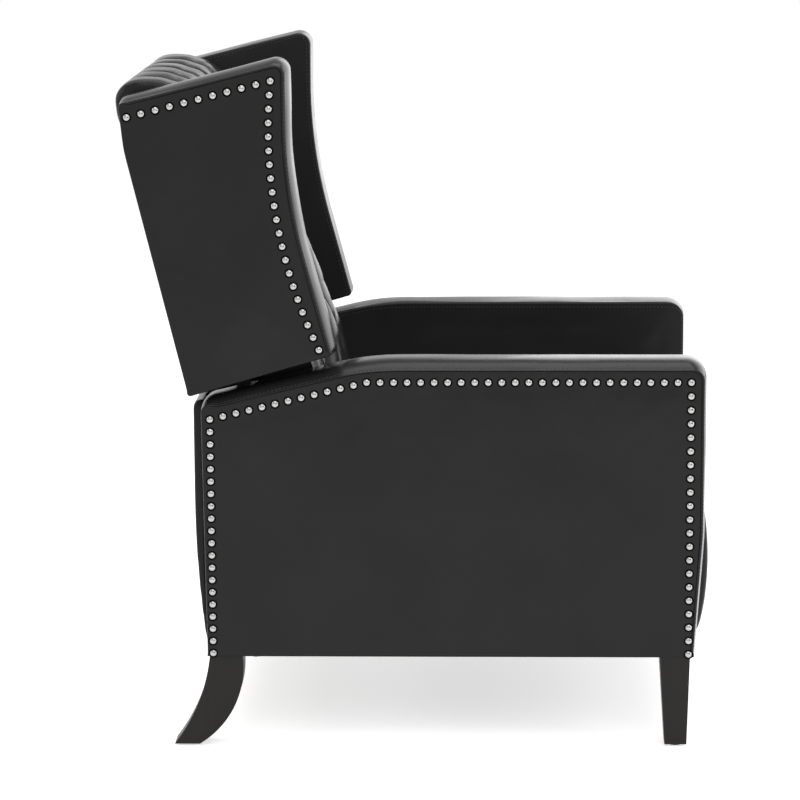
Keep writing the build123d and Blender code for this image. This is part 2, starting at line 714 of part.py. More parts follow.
def make_seat_cushion():
    """Crowned cushion whose nose hangs over the front rail; its sides pull in a little."""
    half_width = arm_inner_x - seat_side_gap
    base_z = frame_top_z + webbing_thickness + seat_cushion_lift
    edge_z = seat_top_z - seat_crown
    middle_z = (edge_z + seat_nose_z) / 2
    rear_base_y = pad_front_y(base_z) - seat_cushion_rear_gap
    rear_top_y = pad_front_y(edge_z) - seat_cushion_rear_gap
    lap_y = seat_frame_front_y - seat_lap_gap
    nose_foot_y = front_y + seat_nose_foot_run
    nose_top_y = front_y + seat_nose_top_run
    side = make_face([
        Polyline((rear_top_y, edge_z), (rear_base_y, base_z), (lap_y, base_z), (lap_y, seat_nose_z)),
        Line((lap_y, seat_nose_z), (nose_foot_y, seat_nose_z)),
        ThreePointArc((nose_foot_y, seat_nose_z), (front_y, middle_z + seat_nose_bulge_lift), (nose_top_y, edge_z)),
        ThreePointArc((nose_top_y, edge_z), ((nose_top_y + rear_top_y) / 2, seat_top_z), (rear_top_y, edge_z)),
    ])
    body = slab(side, -half_width, half_width)
    side_z = edge_z - seat_side_drop
    foot_z = seat_nose_z - seat_crown
    waist = half_width - seat_side_pull_in
    section = make_face([
        ThreePointArc((-half_width, side_z), (0, seat_top_z), (half_width, side_z)),
        ThreePointArc((half_width, side_z), (waist, middle_z), (half_width, foot_z)),
        Line((half_width, foot_z), (-half_width, foot_z)),
        ThreePointArc((-half_width, foot_z), (-waist, middle_z), (-half_width, side_z)),
    ])
    return body & extrude(Plane.XZ * section, amount=total_depth, both=True)


# ---------------------------------------------------------------- back


def rear_line_y(z):
    """Rear line of the back, between the wings."""
    return back_rear_foot_y + (z - wing_foot_z) * back_slope


pad_front = FilletPolyline(
    (pad_seat_y, pad_seat_z), (pad_lumbar_y, pad_lumbar_z), (pad_top_y, pad_top_z), radius=pad_bend_radius)


def pad_front_y(z):
    """Front of the back pad below its lumbar bend."""
    return pad_seat_y + (z - pad_seat_z) * (pad_lumbar_y - pad_seat_y) / (pad_lumbar_z - pad_seat_z)


parts["seat_cushion"] = make_seat_cushion()


def wing_face():
    return side_face([
        (wing_front_foot_y, wing_front_foot_z, wing_foot_radius),
        (wing_front_y, wing_front_bend_z, wing_front_bend_radius),
        (wing_front_y, wing_front_top_z, wing_corner_radius),
        (wing_rear_top_y, wing_rear_top_z, wing_rear_corner_radius),
        (wing_rear_bend_y, wing_rear_bend_z, wing_rear_bend_radius),
        (wing_rear_foot_y, wing_foot_z, wing_foot_radius),
    ])


def make_wing():
    outer = wing_face()
    body = slab(outer, wing_inner_x, wing_outer_x)
    rim = body.edges().filter_by(Axis.X, reverse=True)
    body = fillet(rim, wing_edge_radius)
    cavity_x = (wing_inner_x + wing_side_pad_thickness, wing_outer_x - wing_side_pad_thickness)
    cavity = offset(outer, -wing_pad_thickness)
    window = offset(outer, -(wing_pad_thickness + wing_rail_width))
    return body - slab(cavity, *cavity_x), slab(cavity - window, *cavity_x)


wing_cover, wing_frame = make_wing()
both_sides("wing_cover", wing_cover)
both_sides("wing_frame", wing_frame)


def back_band(front_offset, rear_offset, z_from, z_to):
    """Slanted strip of the side view, at two distances in front of the rear line."""
    return side_face([
        (rear_line_y(z_from) - front_offset, z_from, 0),
        (rear_line_y(z_from) - rear_offset, z_from, 0),
        (rear_line_y(z_to) - rear_offset, z_to, 0),
        (rear_line_y(z_to) - front_offset, z_to, 0),
    ])


stile_outer_x = link_layer[1]
timber_front = outer_back_thickness + back_timber


def make_back_frame():
    stile = slab(back_band(timber_front, outer_back_thickness, back_frame_foot_z, back_frame_top_z),
                 stile_outer_x - back_timber, stile_outer_x)
    frame = stile + mirror(stile, about=Plane.YZ)
    middle_z = (back_frame_foot_z + back_frame_top_z) / 2
    rails = (back_frame_foot_z, middle_z - back_timber / 2, back_frame_top_z - back_timber)
    for foot_z in rails:
        band = back_band(timber_front, outer_back_thickness, foot_z, foot_z + back_timber)
        frame = frame + slab(band, -wing_inner_x, wing_inner_x)
    return frame


roll_clear = disc((head_roll_y, head_roll_z), head_roll_radius + head_roll_gap, -wing_inner_x, wing_inner_x)
bracket_bend_z = back_return_z - bracket_bend_drop
bracket_shoulder_z = back_frame_foot_z + bracket_shoulder_rise
bracket_top_z = bracket_shoulder_z + bracket_reach
bracket_corner_radius = bracket_half_width - bracket_corner_gap
bracket_front_y = back_pivot[0] - bracket_half_width
bracket_rear_y = back_pivot[0] + bracket_half_width
bracket_outline = side_face([
    (bracket_front_y, back_pivot[1] - bracket_half_width, bracket_corner_radius),
    (bracket_rear_y, back_pivot[1] - bracket_half_width, bracket_corner_radius),
    (bracket_rear_y, bracket_bend_z, bracket_bend_radius),
    (rear_line_y(bracket_shoulder_z) - outer_back_thickness - bracket_side_gap, bracket_shoulder_z,
     bracket_bend_radius),
    (rear_line_y(bracket_top_z) - outer_back_thickness - bracket_side_gap, bracket_top_z, bracket_end_radius),
    (rear_line_y(bracket_top_z) - timber_front + bracket_side_gap / 2, bracket_top_z, bracket_end_radius),
    (bracket_front_y, bracket_bend_z - bracket_bend_radius, bracket_throat_radius),
])
bolt_spots = [
    (rear_line_y(z) - (timber_front + outer_back_thickness + bracket_side_gap / 2) / 2, z)
    for z in (bracket_shoulder_z + back_bolt_foot_rise, bracket_top_z - back_bolt_top_drop)
]
bolt_hole_face = Pos(*bolt_spots[0]) * Circle(back_bolt_radius + fit_clearance)
bolt_hole_face = bolt_hole_face + Pos(*bolt_spots[1]) * Circle(back_bolt_radius + fit_clearance)
bracket_face = bracket_outline - bolt_hole_face - Pos(*back_pivot) * Circle(running_hole)
both_sides("back_bracket", slab(bracket_face, *link_layer))
parts["back_bolts"] = mirrored_group([
    disc(spot, back_bolt_radius, stile_outer_x - back_bolt_length, link_layer[0])
    + disc(spot, 2 * back_bolt_radius, link_layer[0], link_layer[0] + back_bolt_head_height)
    for spot in bolt_spots
])


def clear_of_brackets(body):
    """Cuts the room that the back brackets and their bolts need."""
    room = offset(bracket_outline, bracket_clearance)
    for sign in (1, -1):
        body = body - slab(room, sign * stile_outer_x, sign * wing_inner_x)
    return body


def make_outer_back():
    """Rear panel of the back; its foot turns forward under the frame."""
    top_z = head_roll_z - outer_back_top_drop
    turn_z = back_frame_foot_z - outer_back_frame_gap
    return_front_y = rear_line_y(back_return_z) - back_return_run
    face = side_face([
        (rear_line_y(top_z) - outer_back_thickness, top_z, 0),
        (rear_line_y(turn_z) - outer_back_thickness, turn_z, 0),
        (return_front_y, back_return_z + outer_back_thickness, 0),
        (return_front_y, back_return_z, outer_back_edge_radius),
        (rear_line_y(turn_z) - outer_back_foot_inset, turn_z - outer_back_thickness, outer_back_foot_radius),
        (rear_line_y(turn_z), turn_z, outer_back_foot_radius),
        (rear_line_y(top_z), top_z, outer_back_edge_radius),
    ])
    return clear_of_brackets(slab(face, -back_half_width, back_half_width) - roll_clear)


parts["outer_back"] = make_outer_back()

# ---------------------------------------------------------------- tufted pad


def surface_spot(z):
    """Point and outward normal of the pad's front at one height."""
    low, high = 0.0, 1.0
    for _ in range(30):
        middle = (low + high) / 2
        if (pad_front @ middle).Y < z:
            low = middle
        else:
            high = middle
    point = pad_front @ low
    along = pad_front % low
    normal = Vector(0, -along.Y, along.X)
    if normal.Y > 0:
        normal = -normal
    return point, normal


def tuft_spots():
    """Rows of buttons as (x, point, normal)."""
    rows = []
    for z, count in zip(tuft_row_heights, tuft_row_counts):
        point, normal = surface_spot(z)
        xs = [(i - (count - 1) / 2) * tuft_column_pitch for i in range(count)]
        rows.append([(x, Vector(x, point.X, point.Y), normal) for x in xs])
    return rows


def pleat(start, end, normal):
    """V-shaped groove between two points of the surface, cut from above it."""
    run = end - start
    plane = Plane(origin=start, x_dir=run.cross(normal), z_dir=run)
    outward = 1 if plane.to_local_coords(start + normal).Y > 0 else -1
    half = pleat_width / 2
    groove = make_face(Polyline(
        (-half, outward * pleat_cut_height), (-half, outward * pleat_lip), (0, -outward * pleat_depth),
        (half, outward * pleat_lip), (half, outward * pleat_cut_height), close=True))
    return extrude(plane * groove, amount=run.length)


def pleat_over(start, end, start_normal, end_normal):
    """Pleat that follows the pad's bend through a point halfway up."""
    if (start_normal - end_normal).length < same_direction:
        return [pleat(start, end, start_normal)]
    point, normal = surface_spot((start.Z + end.Z) / 2)
    middle = Vector((start.X + end.X) / 2, point.X, point.Y)
    return [pleat(start, middle, (start_normal + normal).normalized()),
            pleat(middle, end, (normal + end_normal).normalized())]


def tail_arc(radius, z_from, z_to):
    """Arc about the back's pivot, in front of it, between two heights."""
    def at(z):
        return (back_pivot[0] - math.sqrt(radius ** 2 - (z - back_pivot[1]) ** 2), z)
    return ThreePointArc(at(z_from), at((z_from + z_to) / 2), at(z_to))


def make_back_pad():
    tail_front = tail_arc(tail_front_radius, pad_shoulder_z, pad_foot_z)
    tail_rear = tail_arc(tail_rear_radius, pad_foot_z, pad_shoulder_z)
    frame_front_top = rear_line_y(pad_top_z) - timber_front
    frame_front_foot = rear_line_y(back_frame_foot_z) - timber_front
    rear_low_z = back_return_z - pad_return_lift
    rear_low_y = rear_line_y(rear_low_z) - pad_rear_low_run
    rear = Polyline(
        (pad_top_y, pad_top_z),
        (frame_front_top, pad_top_z),
        (frame_front_foot, back_frame_foot_z),
        (rear_low_y, rear_low_z),
        (rear_low_y, pad_shoulder_z),
        tail_rear @ 1)
    face = make_face([
        pad_front, rear, tail_rear, Line(tail_rear @ 0, tail_front @ 1), tail_front,
        Line(tail_front @ 0, (pad_seat_y, pad_seat_z))])
    body = slab(face, -back_half_width, back_half_width)
    notch = side_face([
        (pad_seat_y - pad_tail_thickness, pad_foot_z - overrun, 0),
        (rear_y, pad_foot_z - overrun, 0),
        (rear_y, pad_shoulder_z, 0),
        (pad_seat_y - pad_tail_thickness, pad_shoulder_z, 0),
    ])
    for sign in (1, -1):
        body = body - slab(notch, sign * tail_half_width, sign * (back_half_width + overrun))
    return clear_of_brackets(body - roll_clear)


def cut_tufts(body):
    rows = tuft_spots()
    buttons = []
    grooves = []
    for lower, upper in zip(rows, rows[1:]):
        for _, start, normal in lower:
            for _, end, other in upper:
                if abs(end.X - start.X) < tuft_column_pitch:
                    grooves.extend(pleat_over(start, end, normal, other))
    foot_point, foot_normal = surface_spot(pad_seat_z + pleat_foot_lift)
    for x, start, normal in rows[0]:
        grooves.append(pleat(Vector(x, foot_point.X, foot_point.Y), start, foot_normal))
    top_point, top_normal = surface_spot(pad_top_z - pleat_top_drop)
    for x, start, normal in rows[-1]:
        grooves.append(pleat(start, Vector(x, top_point.X, top_point.Y), top_normal))
    for row in rows:
        for _, point, normal in row:
            floor = Plane(origin=point - normal * tuft_pocket_depth, z_dir=normal)
            pocket = extrude(floor * Circle(tuft_pocket_radius), amount=tuft_pocket_depth + pocket_cut_height)
            grooves.append(pocket)
            buttons.append(extrude(floor * Circle(button_radius), amount=button_height))
    for groove in grooves:
        body = body - groove
    return body, Compound(children=[s for b in buttons for s in b.solids()])


parts["back_pad"], parts["tuft_buttons"] = cut_tufts(make_back_pad())
frame_solid = clear_of_brackets(make_back_frame() - roll_clear)
for sign in (1, -1):
    frame_solid = frame_solid - slab(
        bolt_hole_face, sign * (stile_outer_x - back_bolt_length), sign * (stile_outer_x + overrun))
parts["back_frame"] = frame_solid


def make_head_roll():
    """Roll across the top of the back, drawn in at its channel seams."""
    roll = disc((head_roll_y, head_roll_z), head_roll_radius, -back_half_width, back_half_width)
    pitch = 2 * back_half_width / head_roll_channels
    for i in range(1, head_roll_channels):
        x = -back_half_width + i * pitch
        ring_face = make_face(Polyline(
            (x - channel_width / 2, head_roll_radius + overrun),
            (x + channel_width / 2, head_roll_radius + overrun),
            (x, head_roll_radius - channel_depth), close=True))
        ring = revolve(Plane.XY * ring_face, Axis.X)
        roll = roll - Pos(0, head_roll_y, head_roll_z) * ring
    return roll


parts["head_roll"] = make_head_roll()

# ---------------------------------------------------------------- trim nails


def along(points, count):
    """Evenly spaced points on a line through the given points, both ends included."""
    wire = Polyline(*points)
    return [wire @ (i / (count - 1)) for i in range(count)]


def nails_at(spots, face_x):
    """Low faceted domes on a side face."""
    foot = Plane.YZ * RegularPolygon(nail_radius, nail_sides)
    crown = Plane.YZ.offset(nail_height) * RegularPolygon(nail_crown_radius, nail_sides)
    nail = loft([foot, crown], ruled=True)
    return mirrored_group([Pos(face_x, spot.X, spot.Y) * nail for spot in spots])


def arm_nail_spots():
    front = arm_front_y + arm_nail_front_inset
    rear = arm_rear_y - arm_nail_rear_inset
    top = arm_height - arm_nail_top_inset
    slope = (arm_height - arm_rear_top_z) / (arm_rear_y - arm_slope_start_y)
    rear_top = top - (rear - arm_slope_start_y) * slope
    foot = leg_height + arm_nail_bottom_inset
    row = along([(rear, rear_top), (arm_slope_start_y, top), (front, top)], arm_top_nail_count)
    front_column = along([(front, top), (front, foot)], arm_front_nail_count + 1)[1:]
    rear_column = along([(rear, rear_top), (rear, foot)], arm_rear_nail_count + 1)[1:]
    return row + front_column + rear_column


def wing_nail_spots():
    front = wing_front_y + wing_nail_front_inset
    corner = (front, wing_nail_top_z)
    drop = wing_nail_row_length * math.tan(top_turn)
    row = along([corner, (front + wing_nail_row_length, wing_nail_top_z - drop)], wing_top_nail_count)
    bow = ThreePointArc(corner, (front - wing_nail_bow, wing_nail_bow_z),
                        (wing_front_foot_y + wing_nail_foot_inset, wing_nail_foot_z))
    column = [bow @ (i / (wing_front_nail_count - 1)) for i in range(1, wing_front_nail_count)]
    return row + column


def split_sides(name, group):
    """Stores the two sides of a mirrored group as separate nodes."""
    left = [s for s in group.solids() if s.center().X > 0]
    right = [s for s in group.solids() if s.center().X < 0]
    parts[name + "_left"] = Compound(children=left)
    parts[name + "_right"] = Compound(children=right)


split_sides("arm_nails", nails_at(arm_nail_spots(), arm_outer_x))
split_sides("wing_nails", nails_at(wing_nail_spots(), wing_outer_x))

# ---------------------------------------------------------------- footrest linkage

both_sides("drive_link", link(
    [drive_pivot, drive_tail], link_width, link_layer,
    [(drive_pivot, running_hole), (drive_joint, fixed_hole), (drive_tail, fixed_hole)]))
both_sides("idler_link", link(
    [idler_pivot, idler_joint], link_width, link_layer,
    [(idler_pivot, running_hole), (idler_joint, open_hole)]))
carrier = link(
    [idler_joint, drive_joint, footrest_hinge], slim_link_width, inner_layer,
    [(drive_joint, running_hole), (footrest_hinge, running_hole)])
both_sides("carrier_link", carrier + disc(idler_joint, pin_radius, inner_layer[0], link_layer[0]))
both_sides("stay_link", link(
    [drive_tail, stay_joint], slim_link_width, inner_layer,
    [(drive_tail, running_hole), (stay_joint, open_hole)]))
pin_inner_end = inner_layer[1] - pin_end_gap
parts["drive_link_pins"] = mirrored_group([
    pin(drive_joint, link_layer[0], pin_inner_end),
    pin(drive_tail, link_layer[0], pin_inner_end),
])
torque_tube_at = polar(drive_pivot, torque_tube_reach, drive_rest_angle)
parts["torque_tube"] = (
    disc(torque_tube_at, torque_tube_radius, -link_layer[1], link_layer[1])
    - disc(torque_tube_at, torque_tube_radius - tube_wall, -link_layer[1] - overrun, link_layer[1] + overrun)
)

# ---------------------------------------------------------------- footrest

footrest_front_y = front_y + footrest_front_inset
board_front_y = footrest_front_y + footrest_pad_thickness
board_rear_y = board_front_y + footrest_board_thickness
footrest_half_width = arm_inner_x - footrest_side_gap
board_outline = side_face([
    (board_front_y, footrest_bottom_z + footrest_board_margin, 0),
    (board_rear_y, footrest_bottom_z + footrest_board_margin, 0),
    (board_rear_y, footrest_top_z - footrest_board_margin, 0),
    (board_front_y, footrest_top_z - footrest_board_margin, 0),
])
board_half_width = footrest_half_width - footrest_board_margin
parts["footrest_board"] = slab(board_outline, -board_half_width, board_half_width)
pad_edge_y = footrest_front_y + footrest_crown
pad_side = make_face([
    Line((board_front_y, footrest_bottom_z), (board_front_y, footrest_top_z)),
    Line((board_front_y, footrest_top_z), (pad_edge_y, footrest_top_z)),
    ThreePointArc((pad_edge_y, footrest_top_z), (footrest_front_y, footrest_top_z - footrest_bulge_drop),
                  (pad_edge_y, footrest_bottom_z)),
    Line((pad_edge_y, footrest_bottom_z), (board_front_y, footrest_bottom_z)),
])
parts["footrest_pad"] = slab(pad_side, -footrest_half_width, footrest_half_width)
plate_head_z = footrest_hinge[1] + footrest_bracket_rise
plate_foot_z = stay_joint[1] - footrest_bracket_drop
plate_hinge_y = footrest_hinge[0] + footrest_bracket_reach
plate_stay_y = stay_joint[0] + footrest_bracket_reach
plate_heel_z = stay_joint[1] - footrest_bracket_reach
bracket_plate = side_face([
    (board_rear_y, plate_head_z, 0),
    (plate_hinge_y, plate_head_z, footrest_bracket_radius),
    (plate_hinge_y, footrest_hinge[1] - pin_radius, footrest_bracket_radius),
    (plate_stay_y, plate_heel_z, footrest_bracket_radius),
    (board_rear_y + footrest_bracket_rise, plate_heel_z - flange_thickness, footrest_bracket_radius),
    (board_rear_y, plate_foot_z, 0),
])
for center in (footrest_hinge, stay_joint):
    bracket_plate = bracket_plate - Pos(*center) * Circle(fixed_hole)
flange_y = board_rear_y + footrest_flange_thickness
foot_flange = side_face([
    (board_rear_y, plate_foot_z, 0),
    (flange_y, plate_foot_z, 0),
    (flange_y, plate_head_z, 0),
    (board_rear_y, plate_head_z, 0),
])
both_sides("footrest_bracket", slab(bracket_plate, *link_layer) + slab(
    foot_flange, link_layer[1] - footrest_flange_width, link_layer[0]))
parts["footrest_pins"] = mirrored_group([
    pin(footrest_hinge, link_layer[0], pin_inner_end),
    pin(stay_joint, link_layer[0], pin_inner_end),
])

# ---------------------------------------------------------------- files

os.makedirs("parts", exist_ok=True)
for name, shape in parts.items():
    shape.label = name
    export_step(shape, os.path.join("parts", name + ".step"))
print(len(parts), "nodes")
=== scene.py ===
import json
import math
import bmesh
import bpy
import numpy as np
import mathutils
from mathutils import Matrix, Vector
from mathutils.bvhtree import BVHTree


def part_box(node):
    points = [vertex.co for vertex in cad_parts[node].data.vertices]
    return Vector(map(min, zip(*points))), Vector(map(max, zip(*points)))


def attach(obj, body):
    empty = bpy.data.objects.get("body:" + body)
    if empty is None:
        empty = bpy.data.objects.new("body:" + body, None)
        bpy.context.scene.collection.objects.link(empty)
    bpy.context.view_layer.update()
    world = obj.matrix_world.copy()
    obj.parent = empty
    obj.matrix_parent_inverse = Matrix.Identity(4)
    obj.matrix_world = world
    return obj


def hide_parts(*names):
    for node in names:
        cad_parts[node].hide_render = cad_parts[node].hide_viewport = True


# Looks of a black wingback recliner, in metres.
# +Z is up, the front faces -Y, and the sitter's left is +X.

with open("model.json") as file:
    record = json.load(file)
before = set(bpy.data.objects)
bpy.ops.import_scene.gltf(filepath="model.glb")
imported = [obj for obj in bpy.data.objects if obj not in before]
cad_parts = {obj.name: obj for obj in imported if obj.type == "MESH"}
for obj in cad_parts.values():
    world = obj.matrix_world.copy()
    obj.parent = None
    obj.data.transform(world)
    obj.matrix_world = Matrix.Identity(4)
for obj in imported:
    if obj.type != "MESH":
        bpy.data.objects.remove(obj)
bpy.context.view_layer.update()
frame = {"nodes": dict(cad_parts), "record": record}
MM = 0.001
SIDES = (("left", 1), ("right", -1))

# ---- camera and light ----

CAMERA_PLACE = (-5.0344, -0.1135, 1.3918)
CAMERA_PITCH = 10.39        # degrees down
CAMERA_YAW = 1.69           # degrees towards the chair's back
CAMERA_ROLL = -0.27
CAMERA_LENS = 145.9
CHAIR_MIDDLE = (0, 0, 0.6)
AMBIENT = 0.5
# Reflections: white up to the first height, dim ceiling from the second (as the sine of the elevation).
REFLECTED_SKY = {"From Min": 0.28, "From Max": 0.62, "To Min": 1.0, "To Max": 0.35}
FLAG_PLACE = (-4.25, -2.1, 2.4)
FLAG_SIZE = 3.8
FLAG_COLOR = (0.01, 0.01, 0.01, 1)
FLOOR_SIZE = 24.0
FLOOR_DROP = 0.5 * MM       # keeps the floor off the glides' faces
FLOOR_COLOR = (0.86, 0.86, 0.86, 1)
FLOOR_ROUGHNESS = 0.9
FLOOR_GLOW = 0.62           # seen by the camera and in reflections only


def new_object(name, data):
    """Object of the data, linked into the scene."""
    obj = bpy.data.objects.new(name, data)
    bpy.context.scene.collection.objects.link(obj)
    return obj


def aim(obj, target):
    """Turns a lamp or card at its place to face the target."""
    obj.rotation_mode = "QUATERNION"
    obj.rotation_quaternion = (Vector(target) - obj.location).to_track_quat("-Z", "Y")


def make_camera():
    data = bpy.data.cameras.new("camera")
    data.lens = CAMERA_LENS
    data.clip_end = 100
    camera = new_object("camera", data)
    pitch, yaw = math.radians(CAMERA_PITCH), math.radians(CAMERA_YAW)
    look = Vector((math.cos(pitch) * math.cos(yaw), math.cos(pitch) * math.sin(yaw), -math.sin(pitch)))
    turn = look.to_track_quat("-Z", "Y").to_matrix().to_4x4()
    roll = Matrix.Rotation(math.radians(CAMERA_ROLL), 4, "Z")
    camera.matrix_world = Matrix.Translation(CAMERA_PLACE) @ turn @ roll
    bpy.context.scene.camera = camera
    bpy.context.scene.view_settings.view_transform = "Standard"


def area_light(name, place, target, size, power, on_floor=True):
    """Soft rectangular lamp; one kept off the floor shows in reflections alone."""
    data = bpy.data.lights.new(name, "AREA")
    data.shape = "RECTANGLE"
    data.size, data.size_y = size
    data.energy = power
    lamp = new_object(name, data)
    lamp.location = place
    aim(lamp, target)
    lamp.visible_diffuse = on_floor
    lamp.visible_camera = False


def seen_by(nodes, links, ray):
    """Shader value of 1 for camera rays and one other kind of ray, and its Light Path node."""
    path = nodes.new("ShaderNodeLightPath")
    seen = nodes.new("ShaderNodeMath")
    seen.operation = "MAXIMUM"
    links.new(path.outputs["Is Camera Ray"], seen.inputs[0])
    links.new(path.outputs[ray], seen.inputs[1])
    return seen.outputs[0], path


def make_world():
    """White to the camera; reflections see a white horizon under a dim ceiling; ambient light is grey."""
    world = bpy.data.worlds.new("studio")
    bpy.context.scene.world = world
    world.use_nodes = True
    nodes, links = world.node_tree.nodes, world.node_tree.links
    background = nodes["Background"]
    background.inputs["Color"].default_value = (1, 1, 1, 1)
    seen, path = seen_by(nodes, links, "Is Transmission Ray")
    strength = nodes.new("ShaderNodeMapRange")
    strength.inputs["To Min"].default_value = AMBIENT
    strength.inputs["To Max"].default_value = 1.0
    place = nodes.new("ShaderNodeTexCoord")
    split = nodes.new("ShaderNodeSeparateXYZ")
    sky = nodes.new("ShaderNodeMapRange")
    for socket, value in REFLECTED_SKY.items():
        sky.inputs[socket].default_value = value
    reflected = nodes.new("ShaderNodeMapRange")
    links.new(seen, strength.inputs["Value"])
    links.new(place.outputs["Generated"], split.inputs[0])
    links.new(split.outputs["Z"], sky.inputs["Value"])
    links.new(path.outputs["Is Glossy Ray"], reflected.inputs["Value"])
    links.new(strength.outputs["Result"], reflected.inputs["To Min"])
    links.new(sky.outputs["Result"], reflected.inputs["To Max"])
    links.new(reflected.outputs["Result"], background.inputs["Strength"])


def square_sheet(name, size):
    """Flat square with a plain material of its own, as the object and its shader."""
    half = size / 2
    mesh = bpy.data.meshes.new(name)
    corners = [(-half, -half, 0), (half, -half, 0), (half, half, 0), (-half, half, 0)]
    mesh.from_pydata(corners, [], [(0, 1, 2, 3)])
    sheet = new_object(name, mesh)
    material = bpy.data.materials.new(name)
    material.use_nodes = True
    mesh.materials.append(material)
    return sheet, material.node_tree.nodes["Principled BSDF"]


def make_flag():
    """Dark card beside the camera, seen only as the small dark spot in the nail heads."""
    flag, shader = square_sheet("flag", FLAG_SIZE)
    shader.inputs["Base Color"].default_value = FLAG_COLOR
    flag.location = FLAG_PLACE
    aim(flag, CHAIR_MIDDLE)
    flag.visible_camera = False
    flag.visible_diffuse = False
    flag.visible_shadow = False


def make_floor():
    """Pale floor that keeps the chair's shadow."""
    floor, shader = square_sheet("floor", FLOOR_SIZE)
    floor.location.z = -FLOOR_DROP
    tree = floor.data.materials[0].node_tree
    nodes, links = tree.nodes, tree.links
    shader.inputs["Base Color"].default_value = FLOOR_COLOR
    shader.inputs["Roughness"].default_value = FLOOR_ROUGHNESS
    shader.inputs["Specular IOR Level"].default_value = 0.0
    lift = nodes.new("ShaderNodeMath")
    lift.operation = "MULTIPLY"
    lift.inputs[1].default_value = FLOOR_GLOW
    links.new(seen_by(nodes, links, "Is Glossy Ray")[0], lift.inputs[0])
    shader.inputs["Emission Color"].default_value = (1, 1, 1, 1)
    links.new(lift.outputs[0], shader.inputs["Emission Strength"])


make_camera()
make_world()
area_light("overhead", (0.3, 0.1, 3.4), CHAIR_MIDDLE, (3.4, 3.4), 90)
area_light("front", (-1.2, -3.4, 1.8), CHAIR_MIDDLE, (2.4, 2.4), 45)
area_light("near", (-3.0, -0.6, 3.3), CHAIR_MIDDLE, (3.6, 3.6), 80)
area_light("edge", (3.2, -2.0, 1.7), (0, 0, 0.7), (4.4, 2.6), 50, on_floor=False)
area_light("rear", (-0.8, 3.2, 2.0), CHAIR_MIDDLE, (2.2, 2.2), 22)
make_floor()
make_flag()

# ---- materials ----


class Shade:
    """Small helper for a Principled material with chained nodes."""

    def __init__(self, name, color, roughness, metallic=0.0, specular=0.5):
        self.material = bpy.data.materials.new(name)
        self.material.use_nodes = True
        self.nodes = self.material.node_tree.nodes
        self.links = self.material.node_tree.links
        self.shader = self.nodes["Principled BSDF"]
        self.set("Base Color", (*color, 1))
        self.set("Roughness", roughness)
        self.set("Metallic", metallic)
        self.set("Specular IOR Level", specular)
        self.place = self.nodes.new("ShaderNodeTexCoord").outputs["Object"]
        self.bump = None

    def set(self, socket, value):
        self.shader.inputs[socket].default_value = value

    def placed(self, kind, place=None, **values):
        """New texture or mapping node at a place, with its inputs set."""
        node = self.nodes.new("ShaderNode" + kind)
        for socket, value in values.items():
            node.inputs[socket].default_value = value
        self.links.new(place or self.place, node.inputs["Vector"])
        return node

    def stretched(self, scale):
        return self.placed("Mapping", Scale=scale).outputs["Vector"]

    def noise(self, scale, detail=2.0, distortion=0.0, place=None):
        node = self.placed("TexNoise", place, Scale=scale, Detail=detail, Distortion=distortion)
        return node.outputs["Fac"]

    def cells(self, scale):
        node = self.placed("TexVoronoi", Scale=scale)
        node.feature = "SMOOTH_F1"
        return node.outputs["Distance"]

    def wave(self, scale, direction):
        node = self.placed("TexWave", Scale=scale)
        node.bands_direction = direction
        return node.outputs["Fac"]

    def weave(self, scale, warp, weft):
        """Height of a plain weave of threads along two axes."""
        node = self.nodes.new("ShaderNodeMath")
        node.operation = "MULTIPLY"
        for socket, direction in zip(node.inputs, (warp, weft)):
            self.links.new(self.wave(scale, direction), socket)
        return node.outputs[0]

    def vary_color(self, factor, first, second):
        node = self.nodes.new("ShaderNodeMix")
        node.data_type = "RGBA"
        node.inputs["A"].default_value = (*first, 1)
        node.inputs["B"].default_value = (*second, 1)
        self.links.new(factor, node.inputs["Factor"])
        self.links.new(node.outputs["Result"], self.shader.inputs["Base Color"])

    def vary_roughness(self, value, low, high):
        node = self.nodes.new("ShaderNodeMapRange")
        node.inputs["To Min"].default_value = low
        node.inputs["To Max"].default_value = high
        self.links.new(value, node.inputs["Value"])
        self.links.new(node.outputs["Result"], self.shader.inputs["Roughness"])

    def relief(self, height, strength, distance):
        node = self.nodes.new("ShaderNodeBump")
        node.inputs["Strength"].default_value = strength
        node.inputs["Distance"].default_value = distance
        self.links.new(height, node.inputs["Height"])
        if self.bump:
            self.links.new(self.bump, node.inputs["Normal"])
        self.bump = node.outputs["Normal"]
        self.links.new(self.bump, self.shader.inputs["Normal"])


def leather():
    """Smooth black upholstery leather: fine pebbled grain, faint creases, uneven sheen."""
    shade = Shade("black_leather", (0.0145, 0.0145, 0.015), 0.22, specular=0.11)
    shade.vary_color(shade.noise(7.0, 4.0), (0.0116, 0.0116, 0.012), (0.018125, 0.018125, 0.01875))
    shade.vary_roughness(shade.noise(22.0, 5.0), 0.15, 0.30)
    shade.relief(shade.noise(16.0, 3.0, 0.6), 0.05, 2.0 * MM)
    shade.relief(shade.noise(85.0, 4.0, 1.0), 0.05, 0.5 * MM)
    shade.relief(shade.cells(620.0), 0.10, 0.16 * MM)
    return shade.material


def nail_shadow_leather():
    """Painted shade: near-black dull leather for the ring round each nail head, standing in for the shadow
    under its rim.
    """
    shade = Shade("nail_shadow_leather", (0.0008, 0.0008, 0.0009), 0.6, specular=0.03)
    shade.vary_roughness(shade.noise(300.0, 3.0), 0.5, 0.7)
    return shade.material


def lining():
    """Black dust cloth over the timber that faces the inside."""
    shade = Shade("lining", (0.008, 0.008, 0.0085), 0.9, specular=0.1)
    weave = shade.weave(260.0, "Y", "Z")
    shade.vary_color(weave, (0.005, 0.005, 0.0055), (0.013, 0.013, 0.014))
    shade.relief(weave, 0.4, 0.3 * MM)
    return shade.material


